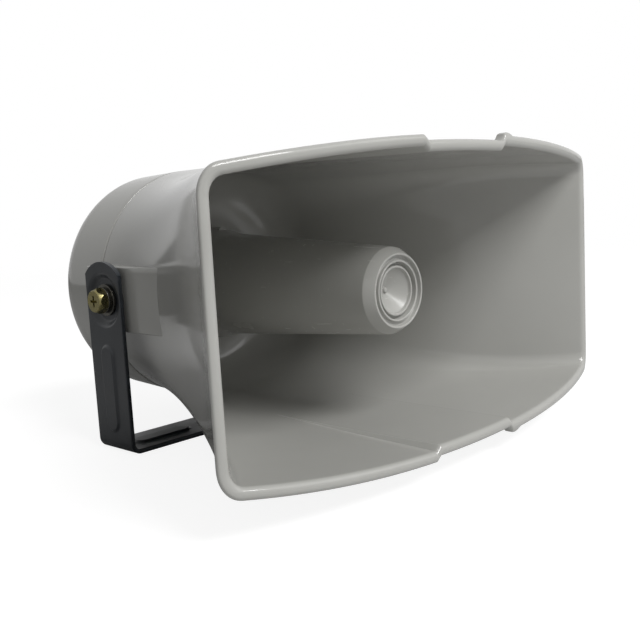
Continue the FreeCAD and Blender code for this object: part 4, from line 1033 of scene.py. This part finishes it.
@dataclass(frozen=True)
class ReflectorCup:
    """The re-entrant cup: a cone with a chamfered face, three raised rings and a shallow dish."""

    front: float = 44.3
    front_radius: float = 18.7
    shoulder: float = 49.6
    shoulder_radius: float = 21.9
    waist: float = 164.0
    waist_radius: float = 29.3
    rear: float = 183.0
    rear_radius: float = 33.0
    wall: float = 2.5
    ring_width: float = 1.0
    second_ring: float = 15.3
    third_ring: float = 12.5
    groove_depth: float = 2.2
    second_setback: float = 0.5
    third_setback: float = 1.6
    dish_depth: float = 8.2
    nub_radius: float = 1.5
    nub_height: float = 1.5
    leg_radius: float = 3.2
    leg_count: int = 3
    leg_foot: float = 199.0
    leg_overlap: float = 7.0
    leg_proud: float = 0.3

    def profile(self) -> Array:
        """Section of the cup, from the dish's nub over the rings, down the cone and up inside.

        Returns:
            Array of radii and depths.
        """
        dish = self.third_ring - self.ring_width
        second = self.front + self.second_setback
        third = self.front + self.third_setback
        groove = self.front + self.groove_depth
        deep = third + self.groove_depth
        bottom = third + self.dish_depth
        inside = bottom + self.wall + 4
        return rounded_profile([
            (POLE, bottom - self.nub_height, 0), (self.nub_radius * 0.9, bottom - self.nub_height, 0.9),
            (self.nub_radius, bottom - 0.2, 0.2), (dish - 0.5, third + 1.6, 1.2), (dish, third, 0.35),
            (self.third_ring, third, 0.35), (self.third_ring + 0.3, deep, 0.3),
            (self.second_ring - self.ring_width - 0.3, deep, 0.3),
            (self.second_ring - self.ring_width, second, 0.35),
            (self.second_ring, second, 0.35), (self.second_ring + 0.3, groove, 0.3),
            (self.front_radius - self.ring_width - 0.3, groove, 0.3),
            (self.front_radius - self.ring_width, self.front, 0.35), (self.front_radius, self.front, 0.5),
            (self.shoulder_radius, self.shoulder, 1.6), (self.waist_radius, self.waist, 22.0),
            (self.rear_radius, self.rear, 0.8), (self.rear_radius - self.wall, self.rear, 0.8),
            (self.waist_radius - self.wall, self.waist, 22.0),
            (self.shoulder_radius - self.wall, inside + 8, 3.0),
            (self.shoulder_radius / 2, inside, 3.0), (POLE, inside + 12, 0),
        ], 6)

    def build(self, material: Material) -> None:
        """Make the cup with its legs and dress it.

        Args:
            material: the cup's material.
        """
        surface = Surface()
        profile = self.profile()
        poles = [np.array([0, profile[index, 1], 0]) for index in (0, -1)]
        surface.add_closed(turned(profile, 144), *poles)
        start = self.rear - self.leg_overlap
        for index in range(self.leg_count):
            turn = math.radians(90 + 360 * index / self.leg_count)
            circle = self.rear_radius - self.leg_radius + self.leg_proud
            centre = (circle * math.cos(turn), start, circle * math.sin(turn))
            bar(surface, centre, Axis.BACK, self.leg_radius, self.leg_foot - start)
        finish_piece(surface.build("reentrant_cup", 60.0), material, Body.HORN, "reflector_cup")


# The rear cover


@dataclass(frozen=True)
class RearCover:
    """The domed rear cover with four screw pockets and a raised seat for the cable gland."""

    rim_radius: float = 68.0
    end_radius: float = 66.5
    front: float = 204.0
    back: float = 257.0
    crown: float = 1.6
    edge_radius: float = 21.0
    wall: float = 3.0
    pocket_circle: float = 54.0
    pocket_radius: float = 4.4
    pocket_floor: float = 230.0
    gland_drop: float = 24.0
    gland_seat_radius: float = 12.5
    gland_seat_height: float = 1.5
    gland_hole: float = 7.9
    pocket_angles: tuple[int, ...] = (45, 135, 225, 315)
    pocket_length: float = 40.0

    def outline(self, inset: float) -> Array:
        """Half profile from the rim to the pole: a drafted wall, a quarter circle and a shallow parabola.

        Args:
            inset: how far the profile is moved inward.

        Returns:
            Array of radii and depths.
        """
        edge = self.edge_radius - inset
        end = self.end_radius - inset
        back = self.back - inset
        turn = np.linspace(0, math.pi / 2, 22)
        arc = np.stack([end - edge + edge * np.cos(turn), back - edge + edge * np.sin(turn)], axis=-1)
        radius = np.linspace(end - edge, 0.05, 26)[1:]
        crown = np.stack([radius, back + self.crown * (1 - (radius / (end - edge)) ** 2)], axis=-1)
        share = np.linspace(0, 1, 14)[:-1, None]
        lip = 0.6 if inset == 0 else 0.0
        start = np.array([self.rim_radius - inset, self.front + lip])
        side = start + (arc[0] - start) * share
        return np.concatenate([side, arc, crown])

    def build(self, material: Material) -> None:
        """Make the cover and dress it.

        Args:
            material: the shell's material.
        """
        softened = np.array([[self.rim_radius - 0.15, self.front + 0.2], [self.rim_radius - 0.6, self.front]])
        inner_rim = np.array([[self.rim_radius - self.wall, self.front]])
        profile = np.concatenate([self.outline(0.0)[::-1], softened, inner_rim, self.outline(self.wall)])
        surface = Surface()
        surface.add_closed(turned(profile, 192), np.array([0, self.back + self.crown, 0]),
                           np.array([0, self.back - self.wall + self.crown, 0]))
        seat_start = self.back - self.wall / 2
        seat_end = self.back + self.gland_seat_height
        bar(surface, (0, seat_start, -self.gland_drop), Axis.BACK, self.gland_seat_radius,
            seat_end - seat_start, 0.5, 64)
        piece = surface.build("rear_dome", 40.0)
        holes = Surface()
        for angle in self.pocket_angles:
            turn = math.radians(angle)
            across, up = self.pocket_circle * math.cos(turn), self.pocket_circle * math.sin(turn)
            bar(holes, (across, self.pocket_floor, up), Axis.BACK, self.pocket_radius, self.pocket_length)
        hole_start = self.back - self.wall - 6
        bar(holes, (0, hole_start, -self.gland_drop), Axis.BACK, self.gland_hole, seat_end + 2 - hole_start)
        carve(piece, holes, overlapping=True)
        finish_piece(piece, material, Body.HORN, "rear_cover")


# The bracket


@dataclass(frozen=True)
class StrapBracket:
    """The strap bent into a U: pressed beads, dished arm ends and three holes in its base."""

    width: float = 31.0
    thickness: float = 2.5
    inner: float = 81.3
    bend_radius: float = 3.5
    end_radius: float = 20.5
    dish_depth: float = 2.8
    dish_rim: float = 15.0
    dish_floor: float = 11.0
    bead_half_width: float = 6.0
    bead_height: float = 1.0
    bead_draft: float = 1.2
    arm_bead_top: float = 24.0
    arm_bead_bottom: float = 72.0
    base_bead_inner: float = 34.0
    base_bead_outer: float = 72.0
    bolt_hole: float = 4.3
    centre_hole: float = 5.25
    side_hole: float = 3.25
    side_hole_spacing: float = 40.0
    base_cut: float = 12.0
    arm_cut: float = 20.0
    edge_radius: float = 0.5

    def bend(self) -> tuple[float, float, float]:
        """Sizes of the bend.

        Returns:
            Half the sheet, the middle line's radius in the bend, and where the base's straight ends.
        """
        half = self.thickness / 2
        radius = self.bend_radius + half
        return half, radius, self.inner + half - radius

    def path(self, distance: Array) -> tuple[Array, ...]:
        """Middle line of the strap in the bracket's own plane.

        It runs straight along the base, round a quarter circle and straight up the arm, and the left
        half mirrors the right one.

        Args:
            distance: distance along the strap from the base's middle.

        Returns:
            Across and up of the line, and of its outward direction.
        """
        half, radius, base = self.bend()
        size = np.abs(distance)
        side = np.sign(distance) + (distance == 0)
        turn = np.clip((size - base) / radius, 0, math.pi / 2)
        arm = np.maximum(0, size - base - radius * math.pi / 2)
        across = np.minimum(size, base) + radius * np.sin(turn)
        up = half - PIVOT_HEIGHT + radius * (1 - np.cos(turn)) + arm
        return side * across, up, side * np.sin(turn), -np.cos(turn)

    def pivot_distance(self) -> float:
        """Distance along the strap from the base's middle to the pivot."""
        half, radius, base = self.bend()
        return base + radius * math.pi / 2 + PIVOT_HEIGHT - half - radius

    def pressed(self, distance: Array, aside: Array) -> Array:
        """Outward movement of the sheet: beads stand proud of it and the dish is sunk.

        A slope's height is its share s of the way across the slope, smoothed as s * s * (3 - 2 * s).

        Args:
            distance: distance along the strap.
            aside: distance from the strap's middle line.

        Returns:
            Movement of every point.
        """
        size = np.abs(distance)
        pivot = self.pivot_distance()

        def step(height: float, share: Array) -> Array:
            """Height at each share of a smoothed slope."""
            share = np.clip(share, 0, 1)
            return height * share * share * (3 - 2 * share)

        def bead(start: float, end: float) -> Array:
            """Height of a bead that runs between two distances."""
            beyond = np.maximum(0, np.maximum(start - size, size - end))
            return step(self.bead_height, (self.bead_half_width - np.hypot(beyond, aside)) / self.bead_draft)

        arm = bead(pivot - self.arm_bead_bottom + self.bead_half_width,
                   pivot - self.arm_bead_top - self.bead_half_width)
        base = bead(self.base_bead_inner + self.bead_half_width, self.base_bead_outer - self.bead_half_width)
        radius = np.hypot(size - pivot, aside)
        slope = self.dish_rim - self.dish_floor
        return arm - base - step(self.dish_depth, (self.dish_rim - radius) / slope)

    def stations(self) -> Array:
        """Distances of the grid's rows: dense at the bends and the pressed forms.

        Returns:
            Distances along the strap from the base's middle.
        """
        _, radius, base = self.bend()
        bend_end = base + radius * math.pi / 2
        pivot = self.pivot_distance()
        stretches = ((0, 32, 12), (32, 74, 90), (74, base, 4), (base, bend_end, 14),
                     (bend_end, pivot + 16, 190))
        right = [np.linspace(start, end, count, endpoint=False) for start, end, count in stretches]
        right = np.concatenate([*right, np.linspace(pivot + 16, pivot + self.end_radius, 10)])
        return np.concatenate([-right[:0:-1], right])

    def sheet(self, surface: Surface) -> None:
        """Add the whole strap as one closed grid whose columns run round its cross-section.

        Past the pivot the strap's distance shrinks by each column's share of the end's circle.

        Args:
            surface: where the grid goes.
        """
        half, edge = self.thickness / 2, self.edge_radius
        flat = np.linspace(-(self.width / 2 - edge), self.width / 2 - edge, 72)
        turn = np.linspace(math.pi / 2, -math.pi / 2, 9)[1:-1]
        rim_aside = self.width / 2 - edge + edge * np.cos(turn)
        rim_level = np.where(np.sin(turn) >= 0, half - edge, edge - half) + edge * np.sin(turn)
        aside = np.concatenate([flat, rim_aside, flat[::-1], -rim_aside[::-1]])
        level = np.concatenate([half + 0 * flat, rim_level, -half + 0 * flat, rim_level[::-1]])
        station = self.stations()[:, None]
        pivot = self.pivot_distance()
        size = np.abs(station)
        ending = np.sqrt(self.end_radius ** 2 - np.clip(aside, -self.width / 2, self.width / 2) ** 2)
        beyond = np.maximum(0, size - pivot) * ending / self.end_radius
        distance = np.sign(station) * (np.minimum(size, pivot) + beyond)
        offset = level + self.pressed(distance, aside + 0 * distance)
        across, up, out_x, out_z = self.path(distance)
        back = PIVOT_BACK + aside + 0 * distance
        grid = np.stack([across + out_x * offset, back, up + out_z * offset], axis=-1)
        wear = (np.abs(aside) > self.width / 2 - 0.7).astype(float) + np.zeros(grid.shape[:2])
        wear[[0, 1, -2, -1]] = 1.0
        index = surface.add_grid(grid, edge=wear)
        for row, order in ((index[0], 1), (index[-1], -1)):
            self.close_end(surface, row, len(flat), len(rim_aside), order)

    @staticmethod
    def close_end(surface: Surface, row: Array, flat: int, rim: int, order: int) -> None:
        """Close one end of the strap with quads from its outer face to its inner face.

        Args:
            surface: the strap's surface.
            row: indices of the points round the end.
            flat: number of points on each flat side.
            rim: number of points on each rounded side.
            order: 1 for the strap's start, -1 for its end.
        """
        part = rim // 2
        outer = np.concatenate([row[-part:], row[:flat + part]])
        inner = row[flat + rim - part:2 * flat + rim + part][::-1]
        quads = np.stack([outer[:-1], outer[1:], inner[1:], inner[:-1]], axis=-1)[:, ::order]
        surface.faces.extend(quads.tolist())
        for at, middle, turned_over in ((0, -part - 1, order < 0), (-1, flat + part, order > 0)):
            triangle = [int(outer[at]), int(inner[at]), int(row[middle])]
            surface.faces.append(triangle[::-1] if turned_over else triangle)

    def build(self, material: Material) -> None:
        """Make the bracket and dress it.

        Args:
            material: the bracket's material.
        """
        surface = Surface()
        self.sheet(surface)
        piece = surface.build("strap_bracket", 48.0)
        holes = Surface()
        below = -PIVOT_HEIGHT - 5
        bar(holes, (0, PIVOT_BACK, below), Axis.UP, self.centre_hole, self.base_cut)
        for side in (-1, 1):
            spot = (side * self.side_hole_spacing / 2, PIVOT_BACK, below)
            bar(holes, spot, Axis.UP, self.side_hole, self.base_cut)
            start = self.inner - 8 if side > 0 else 8 - self.inner - self.arm_cut
            bar(holes, (start, PIVOT_BACK, 0), Axis.ACROSS, self.bolt_hole, self.arm_cut)
        carve(piece, holes, 48.0)
        finish_piece(piece, material, Body.BRACKET, "bracket")


# The carried-over nodes


@dataclass(frozen=True)
class CarriedNodes:
    """The smaller nodes, which keep their solids' shape and get real finishes, and softened edges where they
    show outside.
    """

    bevel_width: float = 0.18
    bevel_angle: float = 32.0
    weld_distance: float = 0.00001
    seen_outside: tuple[str, ...] = ("pivot_bolts", "spring_washers", "flat_washers", "gland_body",
                                     "gland_nut", "cover_screws")

    def soften(self, node: bpy.types.Object) -> None:
        """Join a node's loose triangles and round its sharp edges with live modifiers.

        Args:
            node: the carried-over node.
        """
        node.modifiers.new("join", "WELD").merge_threshold = self.weld_distance
        bevel = node.modifiers.new("soften", "BEVEL")
        bevel.width = self.bevel_width * MILLIMETRE
        bevel.segments = 2
        bevel.limit_method = "ANGLE"
        bevel.angle_limit = math.radians(self.bevel_angle)
        bevel.use_clamp_overlap = True
        bevel.harden_normals = True

    def build(self, materials: dict[str, Material]) -> None:
        """Dress every carried-over node, and soften those that show outside.

        Args:
            materials: the made materials by their finish's name.
        """
        for finish in FINISHES:
            for name in finish.nodes.split():
                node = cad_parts[name]
                dress(node, materials[finish.name])
                if name in self.seen_outside:
                    self.soften(node)
                log.info("%s carried over", name)


# Stage, light and camera


def stand(thing: bpy.types.Object, level: Array, away: Array, spot: Colour) -> None:
    """Turn a camera or lamp and put it in its place.

    Args:
        thing: the camera or lamp.
        level: direction of its right.
        away: direction of its back.
        spot: its place in metres.
    """
    matrix = np.eye(4)
    matrix[:3, 0], matrix[:3, 1], matrix[:3, 2], matrix[:3, 3] = level, np.cross(away, level), away, spot
    thing.matrix_world = Matrix(matrix.tolist())


@dataclass(frozen=True)
class Lamp:
    """A soft rectangular lamp: spot, target and size in metres, power in watts."""

    name: str
    spot: Colour
    power: float
    target: Colour = (0.0, -0.05, 0.09)
    size: tuple[float, float] = (0.9, 0.7)

    def build(self) -> None:
        """Put the lamp in the scene."""
        data = bpy.data.lights.new(self.name, "AREA")
        data.shape = "RECTANGLE"
        data.size, data.size_y = self.size
        data.energy = self.power
        away = np.array(self.spot, float) - np.array(self.target, float)
        away /= np.linalg.norm(away)
        level = np.cross([0, 0, 1], away)
        stand(place(self.name, data), level / np.linalg.norm(level), away, self.spot)


@dataclass(frozen=True)
class Studio:
    """Pale floor, white surroundings, soft lamps and the photograph's camera."""

    focal_pixels: float = 898.0
    picture_pixels: float = 640.0
    sensor_width: float = 36.0
    eye: Colour = (-0.3450, -0.4129, 0.1333)
    right: Colour = (0.6893, -0.7224, -0.0555)
    forward: Colour = (0.7109, 0.6891, -0.1404)
    floor_size: float = 12.0
    surroundings: float = 0.19
    reflected: float = 0.8
    floor_tone: float = 0.30
    floor_bounce: float = 0.70
    floor_glow: float = 0.88
    fade_start: float = 0.35
    clear_distance: float = 1.6
    lamps: tuple[Lamp, ...] = (Lamp("front_softbox", (0.0, -1.18, 1.22), 23.0),
                               Lamp("right_fill", (0.80, -1.18, 0.89), 2.5))

    def camera(self) -> None:
        """Place the camera where the photograph was taken from."""
        data = bpy.data.cameras.new("photo_view")
        data.sensor_width = self.sensor_width
        data.lens = self.focal_pixels / self.picture_pixels * self.sensor_width
        data.clip_start = 0.01
        ahead = np.array(self.forward) / np.linalg.norm(self.forward)
        level = np.array(self.right) - ahead * (np.array(self.right) @ ahead)
        camera = place("photo_view", data)
        stand(camera, level / np.linalg.norm(level), -ahead, self.eye)
        bpy.context.scene.camera = camera

    def world(self) -> None:
        """White for the camera, nearly white in reflections, and a soft grey as light."""
        world = bpy.data.worlds.new("surroundings")
        bpy.context.scene.world = world
        graph = Graph.of(world)
        path = graph.add("ShaderNodeLightPath").outputs
        seen = graph.math("MAXIMUM", path["Is Camera Ray"], path["Is Transmission Ray"])
        mirrored = graph.remap(path["Is Glossy Ray"], 0, 1, self.surroundings, self.reflected)
        values = {"Color": (1, 1, 1, 1), "Strength": graph.math("MAXIMUM", mirrored, seen)}
        background = graph.add("ShaderNodeBackground", values)
        graph.add("ShaderNodeOutputWorld", {"Surface": background.outputs[0]})

    def floor(self) -> None:
        """A pale floor that keeps the object's shadow and turns to the white surroundings with distance."""
        half = self.floor_size / 2
        corners = [(-half, -half, 0), (half, -half, 0), (half, half, 0), (-half, half, 0)]
        mesh = bpy.data.meshes.new("floor")
        mesh.from_pydata(corners, [], [(0, 1, 2, 3)])
        material = bpy.data.materials.new("pale_floor")
        graph = Graph.of(material)
        seen = graph.add("ShaderNodeLightPath").outputs["Is Camera Ray"]
        length = graph.add("ShaderNodeVectorMath", {0: graph.coordinates()}, operation="LENGTH")
        far = graph.remap(length.outputs["Value"], self.fade_start, self.clear_distance)
        lit = graph.math("MULTIPLY", seen, graph.remap(far, 0, 1, self.floor_glow, 1.0))
        seen_tone = graph.mix_colour(far, (self.floor_tone,) * 3, (0.0, 0.0, 0.0))
        tone = graph.mix_colour(seen, (self.floor_bounce,) * 3, seen_tone)
        diffuse = graph.add("ShaderNodeBsdfDiffuse", {"Color": tone})
        glow = graph.add("ShaderNodeEmission", {"Color": (1, 1, 1, 1), "Strength": lit})
        total = graph.add("ShaderNodeAddShader", {0: diffuse.outputs[0], 1: glow.outputs[0]})
        graph.add("ShaderNodeOutputMaterial", {"Surface": total.outputs[0]})
        mesh.materials.append(material)
        place("floor", mesh)

    def build(self) -> None:
        """Set up the whole studio."""
        self.camera()
        self.world()
        self.floor()
        for lamp in self.lamps:
            lamp.build()
        bpy.context.scene.view_settings.view_transform = "Standard"


def main() -> None:
    """Build the horn's looks piece by piece."""
    logging.basicConfig(level=logging.INFO, format="%(name)s: %(message)s")
    Studio().build()
    effects = Effects()
    materials = {finish.name: finish.build(effects) for finish in FINISHES}
    HornBell().build(materials["grey_abs_gloss"])
    ReflectorCup().build(materials["grey_abs_satin"])
    RearCover().build(materials["grey_abs_gloss"])
    StrapBracket().build(materials["blue_black_paint"])
    CarriedNodes().build(materials)


if __name__ == "__main__":
    main()
